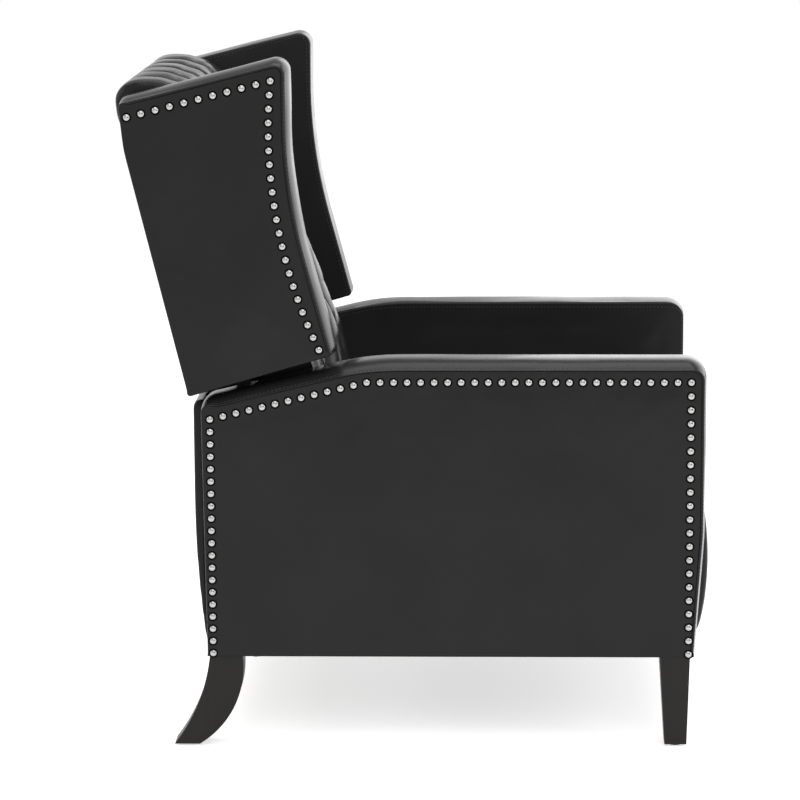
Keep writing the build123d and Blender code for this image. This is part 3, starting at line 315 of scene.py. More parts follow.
def thread():
    shade = Shade("black_thread", (0.02, 0.02, 0.021), 0.55)
    shade.relief(shade.wave(900.0, "DIAGONAL"), 0.4, 0.1 * MM)
    return shade.material


def dark_wood():
    """Near-black stained wood with a satin lacquer and a faint long grain."""
    shade = Shade("leg_wood", (0.006, 0.0055, 0.005), 0.38, specular=0.22)
    grain = shade.noise(38.0, 6.0, 1.2, shade.stretched((1.0, 1.0, 0.07)))
    pores = shade.noise(420.0, 3.0, 0.0, shade.stretched((1.0, 1.0, 0.03)))
    shade.vary_color(grain, (0.0035, 0.0031, 0.0029), (0.011, 0.009, 0.0078))
    shade.vary_roughness(grain, 0.32, 0.48)
    shade.relief(pores, 0.14, 0.25 * MM)
    return shade.material


def pale_wood():
    """Rough-sawn pine and plywood of the hidden frames."""
    shade = Shade("frame_wood", (0.50, 0.35, 0.20), 0.75, specular=0.25)
    rings = shade.noise(16.0, 4.0, 2.2, shade.stretched((0.12, 1.0, 1.0)))
    shade.vary_color(rings, (0.34, 0.21, 0.11), (0.60, 0.45, 0.27))
    shade.relief(shade.noise(300.0, 4.0, 0.0, shade.stretched((0.05, 1.0, 1.0))), 0.3, 0.4 * MM)
    return shade.material


def black_steel():
    shade = Shade("mechanism_steel", (0.025, 0.025, 0.027), 0.42, specular=0.5)
    shade.vary_color(shade.noise(30.0, 5.0), (0.015, 0.015, 0.016), (0.040, 0.040, 0.043))
    shade.vary_roughness(shade.noise(120.0, 4.0), 0.34, 0.55)
    shade.relief(shade.noise(900.0, 2.0), 0.12, 0.08 * MM)
    return shade.material


def zinc_steel():
    shade = Shade("zinc_steel", (0.56, 0.56, 0.57), 0.32, metallic=1.0)
    shade.vary_color(shade.noise(180.0, 4.0), (0.42, 0.43, 0.45), (0.66, 0.66, 0.64))
    shade.vary_roughness(shade.noise(260.0, 4.0), 0.24, 0.44)
    return shade.material


def nail_nickel():
    """Bright nickel domes, a little brushed and tarnished."""
    shade = Shade("nail_nickel", (0.38, 0.38, 0.37), 0.16, metallic=1.0)
    shade.vary_color(shade.noise(240.0, 3.0), (0.32, 0.32, 0.31), (0.45, 0.45, 0.44))
    shade.vary_roughness(shade.noise(500.0, 3.0), 0.16, 0.32)
    shade.relief(shade.noise(700.0, 2.0), 0.10, 0.1 * MM)
    return shade.material


def webbing_cloth():
    shade = Shade("webbing", (0.035, 0.035, 0.038), 0.85, specular=0.2)
    weave = shade.weave(110.0, "X", "Y")
    shade.vary_color(weave, (0.015, 0.015, 0.016), (0.07, 0.07, 0.075))
    shade.relief(weave, 0.6, 0.5 * MM)
    return shade.material


def glide_plastic():
    shade = Shade("glide_plastic", (0.02, 0.02, 0.02), 0.5)
    shade.vary_roughness(shade.noise(200.0, 3.0), 0.42, 0.62)
    return shade.material


LEATHER = leather()
# Near-black leather that paints the shadow round each nail head.
NAIL_SHADOW_LEATHER = nail_shadow_leather()
LINING = lining()
THREAD = thread()
NICKEL = nail_nickel()
SLOT_MATERIALS = {
    "black_leather": LEATHER, "leg_wood": dark_wood(), "frame_wood": pale_wood(), "nail_nickel": NICKEL,
    "mechanism_steel": black_steel(), "zinc_steel": zinc_steel(), "webbing": webbing_cloth(),
    "glide_plastic": glide_plastic(),
}
NODE_SLOTS = {row["node"]: row["material_slot"] for row in frame["record"]["subparts"]}
LINED_NODES = ("rear_panel_board", "back_frame", "seat_frame", "footrest_board", "front_cross_rail")
EDGE_BREAKS = {
    "leg_wood": 1.6 * MM, "frame_wood": 1.0 * MM, "mechanism_steel": 0.4 * MM, "zinc_steel": 0.3 * MM,
    "glide_plastic": 0.5 * MM,
}
EDGE_ANGLE = math.radians(35)
WELD = 0.01 * MM            # points this close in a CAD mesh are one


def dress_cad_nodes():
    """Gives each carried-over node its material and, by modifiers alone, softly broken edges."""
    for name, obj in frame["nodes"].items():
        slot = NODE_SLOTS[name]
        obj.data.materials.clear()
        obj.data.materials.append(LINING if name in LINED_NODES else SLOT_MATERIALS[slot])
        if slot in EDGE_BREAKS:
            weld = obj.modifiers.new("weld", "WELD")
            weld.merge_threshold = WELD
            bevel = obj.modifiers.new("bevel", "BEVEL")
            bevel.width = EDGE_BREAKS[slot]
            bevel.segments = 2
            bevel.limit_method = "ANGLE"
            bevel.angle_limit = EDGE_ANGLE


dress_cad_nodes()

# ---- meshes and outlines ----


RIPPLE_WAVES = 9
RIPPLE_SCALE = 1.5
RIPPLE_SPREAD = (0.7, 1.6)  # lengths of the waves, as shares of the size
OUTLINE_STEP = 4.0 * MM
FILL_STEP = 6 * MM          # triangles over a flat end
RIM_NEAREST = 0.6 * MM      # rim points closer than this are one
RIM_CLEAR = 0.6             # share of a step that inner points keep from the rim


def ripple(points, size, height, seed):
    """Smooth seeded unevenness at the points, with bumps of about the given size and height."""
    rng = np.random.default_rng(seed)
    total = np.zeros(len(points))
    for _ in range(RIPPLE_WAVES):
        direction = rng.normal(size=3)
        direction /= np.linalg.norm(direction)
        length = size * rng.uniform(*RIPPLE_SPREAD)
        total += np.sin(points @ direction * (2 * math.pi / length) + rng.uniform(0, 2 * math.pi))
    return total / math.sqrt(RIPPLE_WAVES) / RIPPLE_SCALE * height


def smooth_step(value, low, high):
    """Rises smoothly from 0 at low to 1 at high."""
    t = np.clip((value - low) / (high - low), 0, 1)
    return t * t * (3 - 2 * t)


def make_object(name, points, faces, material):
    """Smooth-shaded object of the points and faces."""
    mesh = bpy.data.meshes.new(name)
    mesh.from_pydata([tuple(p) for p in points], [], faces)
    mesh.validate()
    mesh.materials.append(material)
    mesh.polygons.foreach_set("use_smooth", [True] * len(mesh.polygons))
    mesh.update()
    return new_object(name, mesh)


def clean(obj, distance=0.05 * MM):
    """Merges doubled points and turns every face outward."""
    bm = bmesh.new()
    bm.from_mesh(obj.data)
    bmesh.ops.remove_doubles(bm, verts=bm.verts, dist=distance)
    bmesh.ops.recalc_face_normals(bm, faces=bm.faces)
    bm.to_mesh(obj.data)
    bm.free()
    return obj


def coordinates(obj, kind="co"):
    """Points of the mesh, or what else they carry, as an array."""
    values = np.zeros(len(obj.data.vertices) * 3)
    obj.data.vertices.foreach_get(kind, values)
    return values.reshape(-1, 3)


def set_coordinates(obj, points):
    obj.data.vertices.foreach_set("co", np.ascontiguousarray(points, np.float32).ravel())
    obj.data.update()


def raise_surface(obj, height):
    """Moves the mesh's points along their normals."""
    set_coordinates(obj, coordinates(obj) + coordinates(obj, "normal") * height)


def welded(node):
    """Editable mesh of a CAD node with its doubled points merged."""
    bm = bmesh.new()
    bm.from_mesh(frame["nodes"][node].data)
    bmesh.ops.remove_doubles(bm, verts=bm.verts, dist=WELD)
    return bm


def side_section(node, x):
    """Outer loop, as (y, z) points, where a CAD node meets a plane of constant X."""
    bm = welded(node)
    cut = bmesh.ops.bisect_plane(bm, geom=bm.verts[:] + bm.edges[:] + bm.faces[:], plane_co=(x, 0, 0),
                                 plane_no=(1, 0, 0))
    edges = [g for g in cut["geom_cut"] if isinstance(g, bmesh.types.BMEdge)]
    beside = {}
    for edge in edges:
        for a, b in (edge.verts, reversed(edge.verts)):
            beside.setdefault(a, []).append(b)
    loops, used = [], set()
    for start in beside:
        if start in used:
            continue
        loop, last, here = [], None, start
        while here not in used:
            used.add(here)
            loop.append((here.co.y, here.co.z))
            onward = [v for v in beside[here] if v is not last and v not in used]
            last = here
            if not onward:
                break
            here = onward[0]
        loops.append(np.array(loop))
    bm.free()
    return max(loops, key=lambda loop: np.prod(loop.max(0) - loop.min(0)))


def resampled(loop, step):
    """Closed loop, anticlockwise in (y, z), with evenly spaced points from its lowest rear corner."""
    area = np.sum(loop[:, 0] * np.roll(loop[:, 1], -1) - np.roll(loop[:, 0], -1) * loop[:, 1])
    if area < 0:
        loop = loop[::-1]
    start = np.argmin(loop[:, 1] * 2 - loop[:, 0])
    loop = np.roll(loop, -start, axis=0)
    closed = np.vstack([loop, loop[:1]])
    reach = run_lengths(closed)
    count = int(round(reach[-1] / step))
    at = np.arange(count) * reach[-1] / count
    return np.stack([np.interp(at, reach, closed[:, i]) for i in (0, 1)], axis=1)


def inward(loop):
    """Unit normals that point into an anticlockwise loop."""
    along = np.roll(loop, -1, axis=0) - np.roll(loop, 1, axis=0)
    along /= np.linalg.norm(along, axis=1)[:, None]
    return np.stack([-along[:, 1], along[:, 0]], axis=1)


def inside(points, loop):
    """True for each point that lies in the closed loop."""
    ahead = np.roll(loop, -1, axis=0)
    y, z = points[:, None, 0], points[:, None, 1]
    spans = (loop[None, :, 1] > z) != (ahead[None, :, 1] > z)
    rise = np.where(ahead[:, 1] == loop[:, 1], 1e-12, ahead[:, 1] - loop[:, 1])
    crossing = loop[None, :, 0] + (z - loop[None, :, 1]) * ((ahead - loop)[None, :, 0] / rise[None])
    return (spans & (y < crossing)).sum(1) % 2 == 1


def distance_to(points, loop):
    """Distance from each point to the nearest point of the loop."""
    return np.sqrt(((points[:, None, :] - loop[None, :, :]) ** 2).sum(2)).min(1)


def filled(loop):
    """Even triangles over the inside of a loop, as 2-D points and faces."""
    kept = [loop[0]]
    for point in loop[1:]:
        if np.linalg.norm(point - kept[-1]) > RIM_NEAREST:
            kept.append(point)
    if np.linalg.norm(kept[0] - kept[-1]) < RIM_NEAREST:
        kept.pop()
    rim = np.array(kept)
    low, high = rim.min(0), rim.max(0)
    rows = np.arange(low[1], high[1], FILL_STEP * math.sqrt(0.75))
    columns = np.arange(low[0], high[0], FILL_STEP)
    grid = np.array([(y + 0.5 * FILL_STEP * (k % 2), z) for k, z in enumerate(rows) for y in columns])
    grid = grid[inside(grid, rim)]
    grid = grid[distance_to(grid, rim) > RIM_CLEAR * FILL_STEP]
    points = [Vector(p) for p in np.vstack([rim, grid])]
    edges = [(i, (i + 1) % len(rim)) for i in range(len(rim))]
    made = mathutils.geometry.delaunay_2d_cdt(points, edges, [], 1, 1e-7)
    return np.array([tuple(p) for p in made[0]]), [tuple(f) for f in made[2]]


def tube_faces(start, rings, count):
    """Quads between rings of equal point counts whose points follow one another from a start index."""
    faces = []
    for r in range(rings - 1):
        here, ahead = start + r * count, start + (r + 1) * count
        for i in range(count):
            j = (i + 1) % count
            faces.append((here + i, here + j, ahead + j, ahead + i))
    return faces


def closed_tube(start, rings, count):
    """The tube's quads, then its first and its last ring as faces."""
    last = start + (rings - 1) * count
    ends = [tuple(start + i for i in reversed(range(count))), tuple(last + i for i in range(count))]
    return tube_faces(start, rings, count) + ends


def rings_to_mesh(name, rings, material):
    """Tube of rings with equal point counts; its flat ends, at constant X, are filled evenly."""
    points = list(np.vstack(rings))
    faces = tube_faces(0, len(rings), len(rings[0]))
    for ring in (rings[0], rings[-1]):
        flat, triangles = filled(ring[:, 1:])
        start = len(points)
        points.extend(np.column_stack([np.full(len(flat), ring[0, 0]), flat]))
        faces.extend(tuple(start + i for i in triangle) for triangle in triangles)
    return clean(make_object(name, points, faces, material))


def islands(node):
    """Boxes of the separate solids in a CAD node, as (low, high) corners."""
    bm = welded(node)
    boxes, seen = [], set()
    for vert in bm.verts:
        if vert in seen:
            continue
        stack, group = [vert], []
        seen.add(vert)
        while stack:
            here = stack.pop()
            group.append(here.co)
            for edge in here.link_edges:
                other = edge.other_vert(here)
                if other not in seen:
                    seen.add(other)
                    stack.append(other)
        co = np.array(group)
        boxes.append((co.min(0), co.max(0)))
    bm.free()
    return boxes


def run_lengths(line):
    """Distance along an open line at each of its points."""
    return np.concatenate([[0], np.cumsum(np.linalg.norm(np.diff(line, axis=0), axis=1))])


def hand_over(obj, node, body):
    """Lets a leather piece stand for a CAD node and ride on its body."""
    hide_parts(node)
    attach(obj, body)


# ---- arms and wings ----

# By the side faced: the strip's middle above the CAD's outline and above the seam, both in mm,
# and how far the rounded edge beside the seam turns, in degrees.
ARM_RIM = {
    "top": (-2.5, 13.7, 60.0), "front": (0.5, 8.5, 77.0),
    "rear": (0.0, 4.5, 86.0), "foot": (0.0, 3.0, 88.0),
}
WING_RIM = {
    "top": (0.5, 11.4, 69.0), "front": (2.0, 11.5, 72.0),
    "rear": (-3.0, 4.5, 86.0), "foot": (0.0, 5.0, 86.0),
}
WING_FOOT_DROP = (4 * MM, 13 * MM)      # wing's lower edge below its CAD outline, front and rear
WING_FOOT_EVEN = 6 * MM     # height above the lower edge that drops by the whole of it
WING_FOOT_RISE = 70 * MM    # and where the drop has faded out
WING_REAR_SLANT = 0.244     # the rear edge's run per drop
ARM_SECTION_X = 0.300       # where the CAD covers' outlines are read
WING_SECTION_X = 0.297
SEAM_FROM = 0.35            # share of an edge that faces up or forward where its seam starts
SEAM_WHOLE = 0.75           # and where it is whole
SEAM_WIDTH = 0.9 * MM
SEAM_DEPTH = 1.6 * MM
SEAM_LIP = 0.7 * MM         # puffed edge beside the seam
LIP_PLACE = 2.6 * MM
LIP_WIDTH = 1.6 * MM
STITCH_RISE = 3.4 * MM      # stitches above the seam, on the strip
STITCH_PITCH = 6.0 * MM
STITCHED_FROM = 0.6         # share of a seam that is stitched
STITCH_SIDES = 6
SHORTEST_STITCH = 2 * MM
STITCH_RAY = 30 * MM        # how far outside the panel its surface is sought from
# Along one stitch: place in its pitch, and in mm its radius and its height above the leather.
STITCH_SHAPE = (
    (0.14, 0.12, -0.25), (0.3, 0.42, 0.12), (0.5, 0.5, 0.22), (0.7, 0.42, 0.12), (0.86, 0.12, -0.25),
)
# Rows of the rim: shares of the strip's width, shares of the edge's turn, and mm beyond the seam.
STRIP_ROWS = (0.0, 0.2, 0.4, 0.6, 0.8, 0.92, 1.0)
EDGE_ROWS = (0.88, 0.76, 0.64, 0.52, 0.4, 0.28, 0.16, 0.06)
SEAM_ROWS = (-0.3, 0.0, 0.4, 0.9, 1.5, 2.3, 3.4, 5.0, 8.0)
PLAIN_DEPTH = 5.5 * MM      # the side towards the seat has a plain edge without a seam
PLAIN_TURN = 84.0
NAIL_SEAT = 7 * MM          # panel is flat this near to a nail
NAIL_CLEAR = 26 * MM        # and free this far from it
CROSSING_ROOM = 0.5 * MM    # how much nearer than its depth a row may come to the outline
PANEL_FROM = 0.97           # share of the half thickness where a side panel starts
STRIP_TO = 0.9              # and where the strip ends
PANEL_FULLNESS = 2.5 * MM
FULLNESS_FROM = 14 * MM     # inside the outline
FULLNESS_WHOLE = 120 * MM
# Size and height of the leather's unevenness.
PANEL_WAVES = (110 * MM, 0.6 * MM)
PANEL_DIMPLES = (36 * MM, 0.15 * MM)
STRIP_WAVES = (120 * MM, 0.5 * MM)
ARM_SEED = 10
WING_SEED = 20


def faced(loop, rim):
    """Outline of the strip's middle and, at its points, the outward direction, the seam's depth,
    the edge's turn and how much of a seam there is."""
    outward = -inward(loop)
    for _ in range(2):
        outward = outward + np.roll(outward, 1, axis=0) + np.roll(outward, -1, axis=0)
        outward /= np.linalg.norm(outward, axis=1)[:, None]
    shares = {
        "top": np.maximum(outward[:, 1], 0) ** 2, "front": np.maximum(-outward[:, 0], 0) ** 2,
        "rear": np.maximum(outward[:, 0], 0) ** 2, "foot": np.maximum(-outward[:, 1], 0) ** 2,
    }
    lift = sum(share * rim[side][0] * MM for side, share in shares.items())
    depth = sum(share * rim[side][1] * MM for side, share in shares.items())
    turn = sum(share * math.radians(rim[side][2]) for side, share in shares.items())
    seam = smooth_step(shares["top"] + shares["front"], SEAM_FROM, SEAM_WHOLE)
    return loop + outward * lift[:, None], outward, depth, turn, seam


def rim_rows(half, depth, turn, seam):
    """Rows of (depth, x) from the strip's middle over the rounded edge and the seam to the side panel."""
    flat = 1 / (2 * np.tan(turn))
    radius = (depth - half * flat) / (np.sin(turn) - (1 - np.cos(turn)) * flat)
    strip = half - radius * (1 - np.cos(turn))
    crown = strip * flat
    rows = [(crown * share ** 2, strip * share) for share in STRIP_ROWS]
    for share in EDGE_ROWS:
        angle = share * turn
        row_depth = crown + radius * (np.sin(turn) - np.sin(angle))
        lip = SEAM_LIP * seam * np.exp(-((depth - row_depth - LIP_PLACE) / LIP_WIDTH) ** 2)
        rows.append((row_depth, half - radius * (1 - np.cos(angle)) + lip))
    for beyond in SEAM_ROWS:
        groove = SEAM_DEPTH * seam * math.exp(-(beyond * MM / SEAM_WIDTH) ** 2)
        rows.append((depth + beyond * MM, half - groove))
    return rows


def lowered(loop):
    """Wing's outline with its lower edge moved down, along the slant of its rear edge."""
    front, rear = loop[:, 0].min(), loop[loop[:, 1].argmin(), 0]
    share = np.clip((loop[:, 0] - front) / (rear - front), 0, 1)
    foot = np.interp(loop[:, 0], [front, rear], [loop[loop[:, 0].argmin(), 1], loop[:, 1].min()])
    front_drop, rear_drop = WING_FOOT_DROP
    drop = front_drop + (rear_drop - front_drop) * share
    drop = drop * (1 - smooth_step(loop[:, 1] - foot, WING_FOOT_EVEN, WING_FOOT_RISE))
    return loop - np.column_stack([drop * WING_REAR_SLANT, drop])


def set_in(loop, outward, rows):
    """Outlines at each row's depth, held where an outline would cross itself."""
    outlines, last = [], loop
    stopped = np.zeros(len(loop), bool)
    for row_depth, x in rows:
        moved = loop - outward * np.broadcast_to(row_depth, len(loop))[:, None]
        stopped |= distance_to(moved, loop) < row_depth - CROSSING_ROOM
        last = np.where(stopped[:, None], last, moved)
        outlines.append((last, np.broadcast_to(x, len(loop))))
    return outlines


def boxed_panel(name, node, loop, rim, seed, nails):
    """Upholstered slab: two side panels joined by a padded strip that wraps round the outline."""
    low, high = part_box(node)
    loop, outward, depth, turn, seam = faced(loop, rim)
    half = (high.x - low.x) / 2
    middle_x = (high.x + low.x) / 2
    sign = math.copysign(1, middle_x)
    outer = set_in(loop, outward, rim_rows(half, depth, turn, seam))
    plain_depth = np.minimum(depth, PLAIN_DEPTH)
    plain_turn = np.maximum(turn, math.radians(PLAIN_TURN))
    inner = set_in(loop, outward, rim_rows(half, plain_depth, plain_turn, 0 * seam))
    rings = [np.column_stack([middle_x + sign * x, flat]) for flat, x in reversed(outer)]
    rings += [np.column_stack([middle_x - sign * x, flat]) for flat, x in inner[1:]]
    obj = rings_to_mesh(name, rings, LEATHER)
    points = coordinates(obj)
    off_middle = (points[:, 0] - middle_x) / half
    near_nail = np.sqrt(((points[:, None, 1:] - nails[None]) ** 2).sum(2)).min(1)
    free = smooth_step(near_nail, NAIL_SEAT, NAIL_CLEAR)
    uneven = ripple(points, *PANEL_WAVES, seed) + ripple(points, *PANEL_DIMPLES, seed + 1)
    set_back = distance_to(points[:, 1:], loop)
    fullness = smooth_step(set_back, FULLNESS_FROM, FULLNESS_WHOLE) * PANEL_FULLNESS
    points[:, 0] += np.sign(off_middle) * (np.abs(off_middle) > PANEL_FROM) * (uneven + fullness) * free
    points[:, 1:] += (ripple(points, *STRIP_WAVES, seed + 2) * (np.abs(off_middle) < STRIP_TO))[:, None]
    set_coordinates(obj, points)
    return obj, stitch_line(loop, outward, depth, seam)


def stitch_line(loop, outward, depth, seam):
    """Longest run of the outline that has a seam, drawn in to where its stitches lie."""
    line = loop - outward * (depth - STITCH_RISE)[:, None]
    has_seam = seam > STITCHED_FROM
    starts = np.flatnonzero(has_seam & ~np.roll(has_seam, 1))
    runs = []
    for start in starts:
        count = 0
        while count < len(loop) and has_seam[(start + count) % len(loop)]:
            count += 1
        runs.append((start + np.arange(count)) % len(loop))
    return line[max(runs, key=len)]


def stitch_row(name, obj, line, face_x, sign, body):
    """Row of short stitches along a line on one side of a boxed panel, laid on its surface."""
    panel_faces = [tuple(f.vertices) for f in obj.data.polygons]
    tree = BVHTree.FromPolygons([tuple(p) for p in coordinates(obj)], panel_faces)
    reach = run_lengths(line)
    count = int(reach[-1] / STITCH_PITCH)
    places = np.array([place for place, _, _ in STITCH_SHAPE])
    start_x = face_x + sign * STITCH_RAY
    points, faces = [], []
    for k in range(count):
        ends = (k + places) * reach[-1] / count
        row = np.stack([np.interp(ends, reach, line[:, i]) for i in (0, 1)], axis=1)
        start = len(points)
        along = row[-1] - row[0]
        length = np.linalg.norm(along)
        if length < SHORTEST_STITCH:
            continue
        across = np.array([-along[1], along[0]]) / length
        for (y, z), (_, size, lift) in zip(row, STITCH_SHAPE):
            hit = tree.ray_cast(Vector((start_x, y, z)), Vector((-sign, 0, 0)))
            x = hit[0].x if hit[0] else face_x
            for i in range(STITCH_SIDES):
                turn = 2 * math.pi * i / STITCH_SIDES
                shift = across * math.cos(turn) * size * MM
                points.append((x + sign * (lift + math.sin(turn) * size) * MM, y + shift[0], z + shift[1]))
        faces += closed_tube(start, len(STITCH_SHAPE), STITCH_SIDES)
    piece = make_object(name, points, faces, THREAD)
    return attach(piece, body)


# Profiles in mm, as (radius, rise from the panel).
NAIL_SIDES = 20
NAIL_DOME = [
    (4.9, -0.6), (5.0, 0.0), (4.85, 0.62), (4.4, 1.2), (3.7, 1.72), (2.8, 2.15), (1.8, 2.43), (0.8, 2.57),
]
# Ring of painted shade round each nail head, drawn in near-black leather.
NAIL_SHADOW_RING = [
    (4.3, 0.05), (4.8, 0.30), (5.8, 0.30), (6.8, 0.20), (7.3, -0.10), (6.4, -0.3), (4.3, -0.3), (4.3, 0.05),
]


def lathed(name, centers, base_x, sign, profile, material, make_faces):
    """One turned form, with its axis along X, at each center."""
    points, faces = [], []
    for middle in centers:
        start = len(points)
        for radius, rise in profile:
            for i in range(NAIL_SIDES):
                turn = 2 * math.pi * i / NAIL_SIDES
                points.append((base_x + sign * rise * MM, middle[0] + radius * MM * math.cos(turn),
                               middle[1] + radius * MM * math.sin(turn)))
        faces += make_faces(start, len(profile), NAIL_SIDES)
    return clean(make_object(name, points, faces, material))


def dome_nails(node, sign, centers, body):
    """Domed nail heads, each in a ring of near-black leather that paints the shadow round its rim."""
    low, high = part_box(node)
    base_x = low.x if sign > 0 else high.x
    domes = lathed(node + "_domes", centers, base_x, sign, NAIL_DOME, NICKEL, closed_tube)
    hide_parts(node)
    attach(domes, body)
    shadow_rings = lathed(node + "_shadow_rings", centers, base_x, sign, NAIL_SHADOW_RING, NAIL_SHADOW_LEATHER, tube_faces)
    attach(shadow_rings, body)


def make_side(kind, side, sign, loop, rim, seed, body):
    """One arm or wing: its leather, its nails and a row of stitches on each side."""
    node, nail_node = kind + "_cover_" + side, kind + "_nails_" + side
    centers = np.array([(low + high)[1:] / 2 for low, high in islands(nail_node)])
    piece, line = boxed_panel(kind + "_leather_" + side, node, loop, rim, seed + sign, centers)
    hand_over(piece, node, body)
    dome_nails(nail_node, sign, centers, body)
    low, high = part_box(node)
    outer_x, inner_x = (high.x, low.x) if sign > 0 else (low.x, high.x)
    stitch_row(kind + "_stitches_out_" + side, piece, line, outer_x, sign, body)
    stitch_row(kind + "_stitches_in_" + side, piece, line, inner_x, -sign, body)


def make_sides():
    for side, sign in SIDES:
        arm = resampled(side_section("arm_cover_" + side, sign * ARM_SECTION_X), OUTLINE_STEP)
        make_side("arm", side, sign, arm, ARM_RIM, ARM_SEED, "base")
        wing = resampled(side_section("wing_cover_" + side, sign * WING_SECTION_X), OUTLINE_STEP)
        make_side("wing", side, sign, lowered(wing), WING_RIM, WING_SEED, "back")


make_sides()

# ---- cushions, pads and covers ----

CLOTH_PRESSURE = 4.0
CLOTH_FRAMES = 20
CUSHION_SHRINK = 2.5 * MM   # drawn in before it swells
CUSHION_HALF_WIDTH = 0.2562 # keeps clear of the arms
COVER_VOXEL = 3.5 * MM
SMOOTHING = 0.5             # share of the way that a round moves each point
CUSHION_ROUNDS = 3
COVER_ROUNDS = 2


def remesh(obj, voxel):
    """Even closed mesh of the object's form."""
    modifier = obj.modifiers.new("remesh", "REMESH")
    modifier.mode = "VOXEL"
    modifier.voxel_size = voxel
    graph = bpy.context.evaluated_depsgraph_get()
    mesh = bpy.data.meshes.new_from_object(obj.evaluated_get(graph))
    obj.modifiers.remove(modifier)
    old, obj.data = obj.data, mesh
    bpy.data.meshes.remove(old)
    mesh.materials.clear()
    mesh.materials.append(LEATHER)
    mesh.polygons.foreach_set("use_smooth", [True] * len(mesh.polygons))


def soft_copy(node, name, voxel, shrink=0.0):
    """Separate even mesh of a CAD node, drawn in a little if asked."""
    obj = new_object(name, frame["nodes"][node].data.copy())
    clean(obj, WELD)
    remesh(obj, voxel)
    if shrink:
        raise_surface(obj, -shrink)
        remesh(obj, voxel)
    return obj


def relax(obj, rounds):
    """Rounds a mesh by averaging each point with its neighbours."""
    bm = bmesh.new()
    bm.from_mesh(obj.data)
    for _ in range(rounds):
        bmesh.ops.smooth_vert(bm, verts=bm.verts, factor=SMOOTHING,
                              use_axis_x=True, use_axis_y=True, use_axis_z=True)
    bm.to_mesh(obj.data)
    bm.free()


def puff(obj, cap):
    """Swells a closed pad by simulated pressure, no point moving further than the cap or past the arms."""
    scene = bpy.context.scene
    rest = coordinates(obj)
    cloth = obj.modifiers.new("cloth", "CLOTH")
    cloth.settings.use_pressure = True
    cloth.settings.uniform_pressure_force = CLOTH_PRESSURE
    cloth.settings.effector_weights.gravity = 0
    cloth.point_cache.frame_end = CLOTH_FRAMES
    for number in range(1, CLOTH_FRAMES + 1):
        scene.frame_set(number)
    graph = bpy.context.evaluated_depsgraph_get()
    swollen = bpy.data.meshes.new_from_object(obj.evaluated_get(graph))
    moved = np.empty(len(swollen.vertices) * 3)
    swollen.vertices.foreach_get("co", moved)
    moved = moved.reshape(-1, 3) - rest
    obj.modifiers.remove(cloth)
    bpy.data.meshes.remove(swollen)
    scene.frame_set(1)
    length = np.maximum(np.linalg.norm(moved, axis=1), 1e-9)
    points = rest + moved * (np.minimum(length, cap) / length)[:, None]
    points[:, 0] = np.clip(points[:, 0], -CUSHION_HALF_WIDTH, CUSHION_HALF_WIDTH)
    points[:, 2] = np.maximum(points[:, 2], rest[:, 2].min())
    set_coordinates(obj, points)


def subdivide(obj):
    """Rounds the mesh's facets with one level of subdivision."""
    modifier = obj.modifiers.new("subdivision", "SUBSURF")
    modifier.levels = 1
    modifier.render_levels = 1


def segment_distance(points, start, end):
    """Distance from 2-D points to one straight segment."""
    run = np.subtract(end, start)
    t = np.clip(((points - start) @ run) / (run @ run), 0, 1)
    return np.linalg.norm(points - (start + t[:, None] * run), axis=1)


# Section of the head roll as (y, z) in mm: flatter towards the front, fuller at its rear top.
ROLL_SECTION = [
    (302, 922), (311, 948), (335, 972), (366, 988), (399, 995), (428, 992), (447, 974), (446, 950),
    (434, 915), (414, 887), (385, 872), (345, 876), (316, 895),
]
ROLL_TURNS = 120            # points round the roll
ROLL_STEPS = 720            # steps round it while its section is smoothed
BLEND_REACH = 30            # smoothing, in those steps
BLEND_WIDTH = 14.0
ROLL_LOBES = 6
LOBE_COLUMNS = 22
LOBE_RISE = 1 * MM          # lobes above the section
LOBE_POWER = 0.42           # roundness of a lobe, and of the outer half of an end lobe
END_POWERS = (7, 0.5)
CREASE_DEPTH = 11 * MM
FOLD_DEPTH = 0.7 * MM       # small folds round each crease
FOLD_COUNT = 23
FOLD_SHIFT = 1.7
FOLD_POWER = 6              # how near to the crease they stay
ROLL_WAVES = (60 * MM, 0.8 * MM)
ROLL_SEED = 31


def roll_section(center, turns):
    """Radius of the roll's section at each angle about its axis."""
    spots = np.array(ROLL_SECTION) * MM - center
    angles = np.arctan2(spots[:, 1], spots[:, 0]) % (2 * math.pi)
    order = np.argsort(angles)
    angles, radii = angles[order], np.linalg.norm(spots, axis=1)[order]
    dense = np.linspace(0, 2 * math.pi, ROLL_STEPS + 1)[:-1]
    smooth = np.interp(dense, angles, radii, period=2 * math.pi)
    weights = np.exp(-(np.arange(-BLEND_REACH, BLEND_REACH + 1) / BLEND_WIDTH) ** 2)
    padded = np.concatenate([smooth[-BLEND_REACH:], smooth, smooth[:BLEND_REACH]])
    smooth = np.convolve(padded, weights / weights.sum(), "valid")
    return np.interp(turns, dense, smooth, period=2 * math.pi)


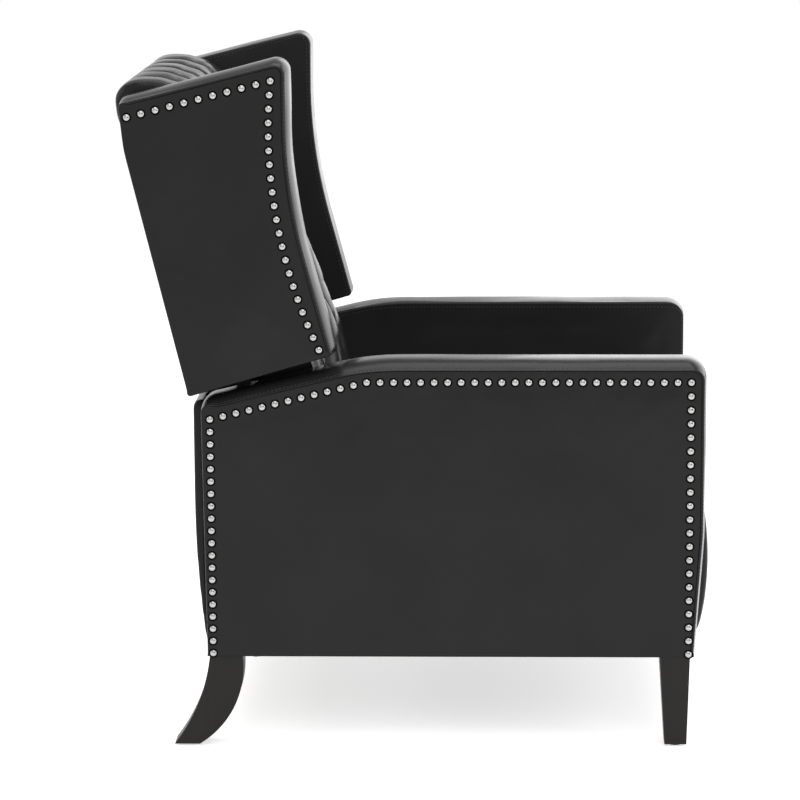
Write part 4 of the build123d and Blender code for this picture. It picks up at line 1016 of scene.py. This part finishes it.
def make_head_roll():
    """Channelled roll: round lobes drawn in at deep creases."""
    low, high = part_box("head_roll")
    center = np.array([(high.y + low.y) / 2, (high.z + low.z) / 2])
    pitch = (high.x - low.x) / ROLL_LOBES
    around = 2 * math.pi * np.arange(ROLL_TURNS) / ROLL_TURNS
    spokes = np.stack([np.cos(around), np.sin(around)], axis=1)
    section = roll_section(center, around)
    rings = []
    for lobe in range(ROLL_LOBES):
        middle = low.x + (lobe + 0.5) * pitch
        last = lobe == ROLL_LOBES - 1
        for k in range(LOBE_COLUMNS + last):
            t = math.sin(math.pi * (k / LOBE_COLUMNS - 0.5))
            swell = (1 - t * t) ** LOBE_POWER
            if (lobe == 0 and t < 0) or (last and t > 0):
                swell = (1 - abs(t) ** END_POWERS[0]) ** END_POWERS[1]
            folds = FOLD_DEPTH * np.sin(around * FOLD_COUNT + lobe * FOLD_SHIFT) * t ** FOLD_POWER
            size = section - CREASE_DEPTH + (CREASE_DEPTH + LOBE_RISE) * swell + folds
            flat = center + spokes * size[:, None]
            rings.append(np.column_stack([np.full(ROLL_TURNS, middle + t * pitch / 2), flat]))
    obj = rings_to_mesh("head_roll_leather", rings, LEATHER)
    raise_surface(obj, ripple(coordinates(obj), *ROLL_WAVES, ROLL_SEED)[:, None])
    hand_over(obj, "head_roll", "back")


# The pad's front in the side view: where it is read, and its ends as (y, z).
PAD_SECTION_X = 0.2
PAD_FOOT = (0.101, 0.440)
PAD_TOP = (0.300, 0.895)
FRONT_STEP = 2 * MM


def front_line():
    """Front of the back pad in the side view, as points from the seat up."""
    loop = resampled(side_section("back_pad", PAD_SECTION_X), FRONT_STEP)
    foot = np.argmin(np.linalg.norm(loop - PAD_FOOT, axis=1))
    top = np.argmin(np.linalg.norm(loop - PAD_TOP, axis=1))
    step = 1 if loop[(foot + 5) % len(loop), 1] > loop[foot, 1] else -1
    count = (top - foot) * step % len(loop)
    return loop[(foot + step * np.arange(count + 1)) % len(loop)]


def button_spots():
    """Centres of the tuft buttons in the CAD."""
    return np.array([(low + high) / 2 for low, high in islands("tuft_buttons")])


# How far the pad's front is drawn in at heights in mm, at its middle and beside the wings.
DRAW_HEIGHTS = (440, 494, 540, 580, 630, 655, 710, 780, 860, 895)
DRAW_MIDDLE = (3, 4, 3, 3, 9, 13, 8, 3, 0, 0)
DRAW_SIDES = (6, 17, 20, 25, 35, 37, 32, 20, 6, 0)
DRAW_DEPTH = 75 * MM
DRAW_FROM = 0.25            # share of the half width where the draw starts to grow


def draw_back(points, offset, half):
    """Distance that the tufting pulls the pad's front in, fading out through its thickness."""
    heights = points[:, 2] / MM
    middle = np.interp(heights, DRAW_HEIGHTS, DRAW_MIDDLE)
    sides = np.interp(heights, DRAW_HEIGHTS, DRAW_SIDES)
    share = smooth_step(np.abs(points[:, 0]) / half, DRAW_FROM, 1.0)
    pull = (middle + (sides - middle) * share) * MM
    return pull * np.clip(1 + offset / DRAW_DEPTH, 0, 1)


PAD_VOXEL = 4 * MM          # before the front is made even, and after
TUFT_VOXEL = 3.6 * MM
FRONT_BAND = 16 * MM        # how far behind the front line a point still belongs to the front
FRONT_HALF_WIDTH = 0.249
FRONT_FADE = (-9 * MM, -1 * MM)
TUFT_PITCH = 108 * MM       # buttons in a row
NEIGHBOUR = 0.75            # shares a fold with a button within this share of the pitch
ROW_BAND = 3 * MM
PLEAT_FOOT = 12 * MM        # lower end of the lowest pleats
PLEAT_FOLD = (8.5 * MM, 5.5 * MM)       # depth and width of the sharp fold, its hollow and the pits
PLEAT_HOLLOW = (4.0 * MM, 24 * MM)
TUFT_PIT = (13 * MM, 19 * MM)
PIT_POWER = 1.6
PILLOW_RISE = 3.5 * MM
PILLOW_WAVES = (35 * MM, 0.5 * MM)
PILLOW_SEED = 41
SIDE_FADE = 22 * MM         # tufting fades out towards the pad's sides and ends, which are set back
END_FADE = 25 * MM
EDGE_DROP = 5 * MM


def pad_half_width():
    """Half the width of the back pad in the CAD."""
    low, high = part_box("back_pad")
    return max(-low.x, high.x)


def located(points, line):
    """Each point against the pad's front: outward direction there, distance outside it and run up it."""
    along = np.gradient(line, axis=0)
    along /= np.linalg.norm(along, axis=1)[:, None]
    outward = np.stack([-along[:, 1], along[:, 0]], axis=1)
    outward *= -np.sign(outward[:, :1])
    nearest = ((points[:, None, 1:] - line[None]) ** 2).sum(2).argmin(1)
    off = points[:, 1:] - line[nearest]
    run = run_lengths(line)[nearest] + (off * along[nearest]).sum(1)
    return outward[nearest], (off * outward[nearest]).sum(1), run


def pleats(buttons, half, top):
    """Folds from button to button and on to the pad's edges, as pairs of (x, run up the front)."""
    rows = sorted({round(v, 3) for v in buttons[:, 1]})
    rows = [buttons[np.abs(buttons[:, 1] - row) < ROW_BAND] for row in rows]
    folds = []
    for lower, upper in zip(rows, rows[1:]):
        for start in lower:
            for end in upper:
                if abs(end[0] - start[0]) < NEIGHBOUR * TUFT_PITCH:
                    folds.append((start, end))
        wide, narrow = (lower, upper) if len(lower) > len(upper) else (upper, lower)
        for end in (wide[np.argmin(wide[:, 0])], wide[np.argmax(wide[:, 0])]):
            side = math.copysign(half, end[0])
            share = (half - abs(end[0])) / (TUFT_PITCH / 2)
            folds.append((end, np.array([side, end[1] + (narrow[0, 1] - end[1]) * share])))
    for x, start in rows[0]:
        folds.append((np.array([x, PLEAT_FOOT]), np.array([x, start])))
    for x, start in rows[-1]:
        folds.append((np.array([x, start]), np.array([x, top])))
    return folds


def tufting(points, run, half, top):
    """Height of the tufted relief: pillows between folds, a pit at each button, and lower edges."""
    line = front_line()
    spots = button_spots()
    buttons = np.column_stack([spots[:, 0], located(spots, line)[2]])
    flat = np.column_stack([points[:, 0], run])
    to_pleat = np.min([segment_distance(flat, a, b) for a, b in pleats(buttons, half, top)], axis=0)
    to_button = np.min([np.linalg.norm(flat - b, axis=1) for b in buttons], axis=0)
    pillow = PILLOW_RISE + ripple(points, *PILLOW_WAVES, PILLOW_SEED)
    pillow -= PLEAT_FOLD[0] * np.exp(-to_pleat / PLEAT_FOLD[1])
    pillow -= PLEAT_HOLLOW[0] * np.exp(-(to_pleat / PLEAT_HOLLOW[1]) ** 2)
    pillow -= TUFT_PIT[0] * np.exp(-(to_button / TUFT_PIT[1]) ** PIT_POWER)
    edge = smooth_step(half - np.abs(points[:, 0]), 0, SIDE_FADE)
    edge *= smooth_step(run, 0, END_FADE) * smooth_step(top - run, 0, END_FADE)
    return pillow * edge - (1 - edge) * EDGE_DROP


def make_back_pad():
    """Pad whose front is laid even along its line, then tufted and drawn in."""
    line = front_line()
    top = run_lengths(line)[-1]
    half = pad_half_width()
    obj = soft_copy("back_pad", "back_pad_leather", PAD_VOXEL)
    points = coordinates(obj)
    outward, offset, run = located(points, line)
    front = (offset > -FRONT_BAND) & (run > FRONT_STEP) & (run < top - FRONT_STEP)
    front &= np.abs(points[:, 0]) < FRONT_HALF_WIDTH
    points[front, 1:] -= (outward * offset[:, None])[front]
    set_coordinates(obj, points)
    remesh(obj, TUFT_VOXEL)
    points = coordinates(obj)
    outward, offset, run = located(points, line)
    height = tufting(points, run, half, top) * smooth_step(offset, *FRONT_FADE)
    points[:, 1:] += outward * height[:, None]
    points[:, 1:] -= outward * draw_back(points, offset, half)[:, None]
    set_coordinates(obj, points)
    hand_over(obj, "back_pad", "back")


# Covered buttons in mm: radius and rise from the pad's front, and the rise of the middle.
BUTTON_SIDES = 24
BUTTON_PROFILE = ((11.0, -3.0), (11.4, -0.5), (11.0, 1.6), (9.4, 3.6), (6.8, 5.1), (3.6, 6.0))
BUTTON_CROWN = 6.3


def make_buttons():
    """Covered buttons, pulled into the tufts."""
    line = front_line()
    points, faces = [], []
    spots = button_spots()
    pulls = draw_back(spots, np.zeros(len(spots)), pad_half_width())
    for spot, pull in zip(spots, pulls):
        k = int(((line - spot[1:]) ** 2).sum(1).argmin())
        k = min(max(k, 1), len(line) - 2)
        along = line[k + 1] - line[k - 1]
        along = along / np.linalg.norm(along)
        facing = np.array([0.0, -along[1], along[0]])
        if facing[1] > 0:
            facing = -facing
        up = np.array([0.0, along[0], along[1]])
        spot = spot - facing * pull
        start = len(points)
        for radius, rise in BUTTON_PROFILE:
            for i in range(BUTTON_SIDES):
                turn = 2 * math.pi * i / BUTTON_SIDES
                around = np.array([1.0, 0, 0]) * math.cos(turn) + up * math.sin(turn)
                points.append(spot + (around * radius + facing * rise) * MM)
        points.append(spot + facing * BUTTON_CROWN * MM)
        faces += closed_tube(start, len(BUTTON_PROFILE), BUTTON_SIDES)
        last = faces.pop()
        faces += [(a, b, len(points) - 1) for a, b in zip(last, last[1:] + last[:1])]
    obj = clean(make_object("tuft_button_caps", points, faces, LEATHER))
    hand_over(obj, "tuft_buttons", "back")


def make_cushion(node, body, voxel, cap, rise, waves, seed):
    """Cushion rounded, swollen by the cloth simulation, raised and made a little uneven."""
    obj = soft_copy(node, node + "_leather", voxel, CUSHION_SHRINK)
    relax(obj, CUSHION_ROUNDS)
    puff(obj, cap)
    relax(obj, CUSHION_ROUNDS)
    raise_surface(obj, rise + ripple(coordinates(obj), *waves, seed)[:, None])
    subdivide(obj)
    hand_over(obj, node, body)


def make_cover(node, name, body):
    """Tight cover with softened edges."""
    obj = soft_copy(node, name, COVER_VOXEL)
    relax(obj, COVER_ROUNDS)
    hand_over(obj, node, body)


make_head_roll()
make_back_pad()
make_buttons()
make_cushion("seat_cushion", "seat", voxel=6 * MM, cap=9 * MM, rise=1 * MM,
             waves=(80 * MM, 0.8 * MM), seed=51)
make_cushion("footrest_pad", "footrest", voxel=5 * MM, cap=3.5 * MM, rise=0.5 * MM,
             waves=(70 * MM, 0.6 * MM), seed=61)
make_cover("outer_back", "outer_back_leather", "back")
make_cover("rear_panel_cover", "rear_panel_leather", "base")
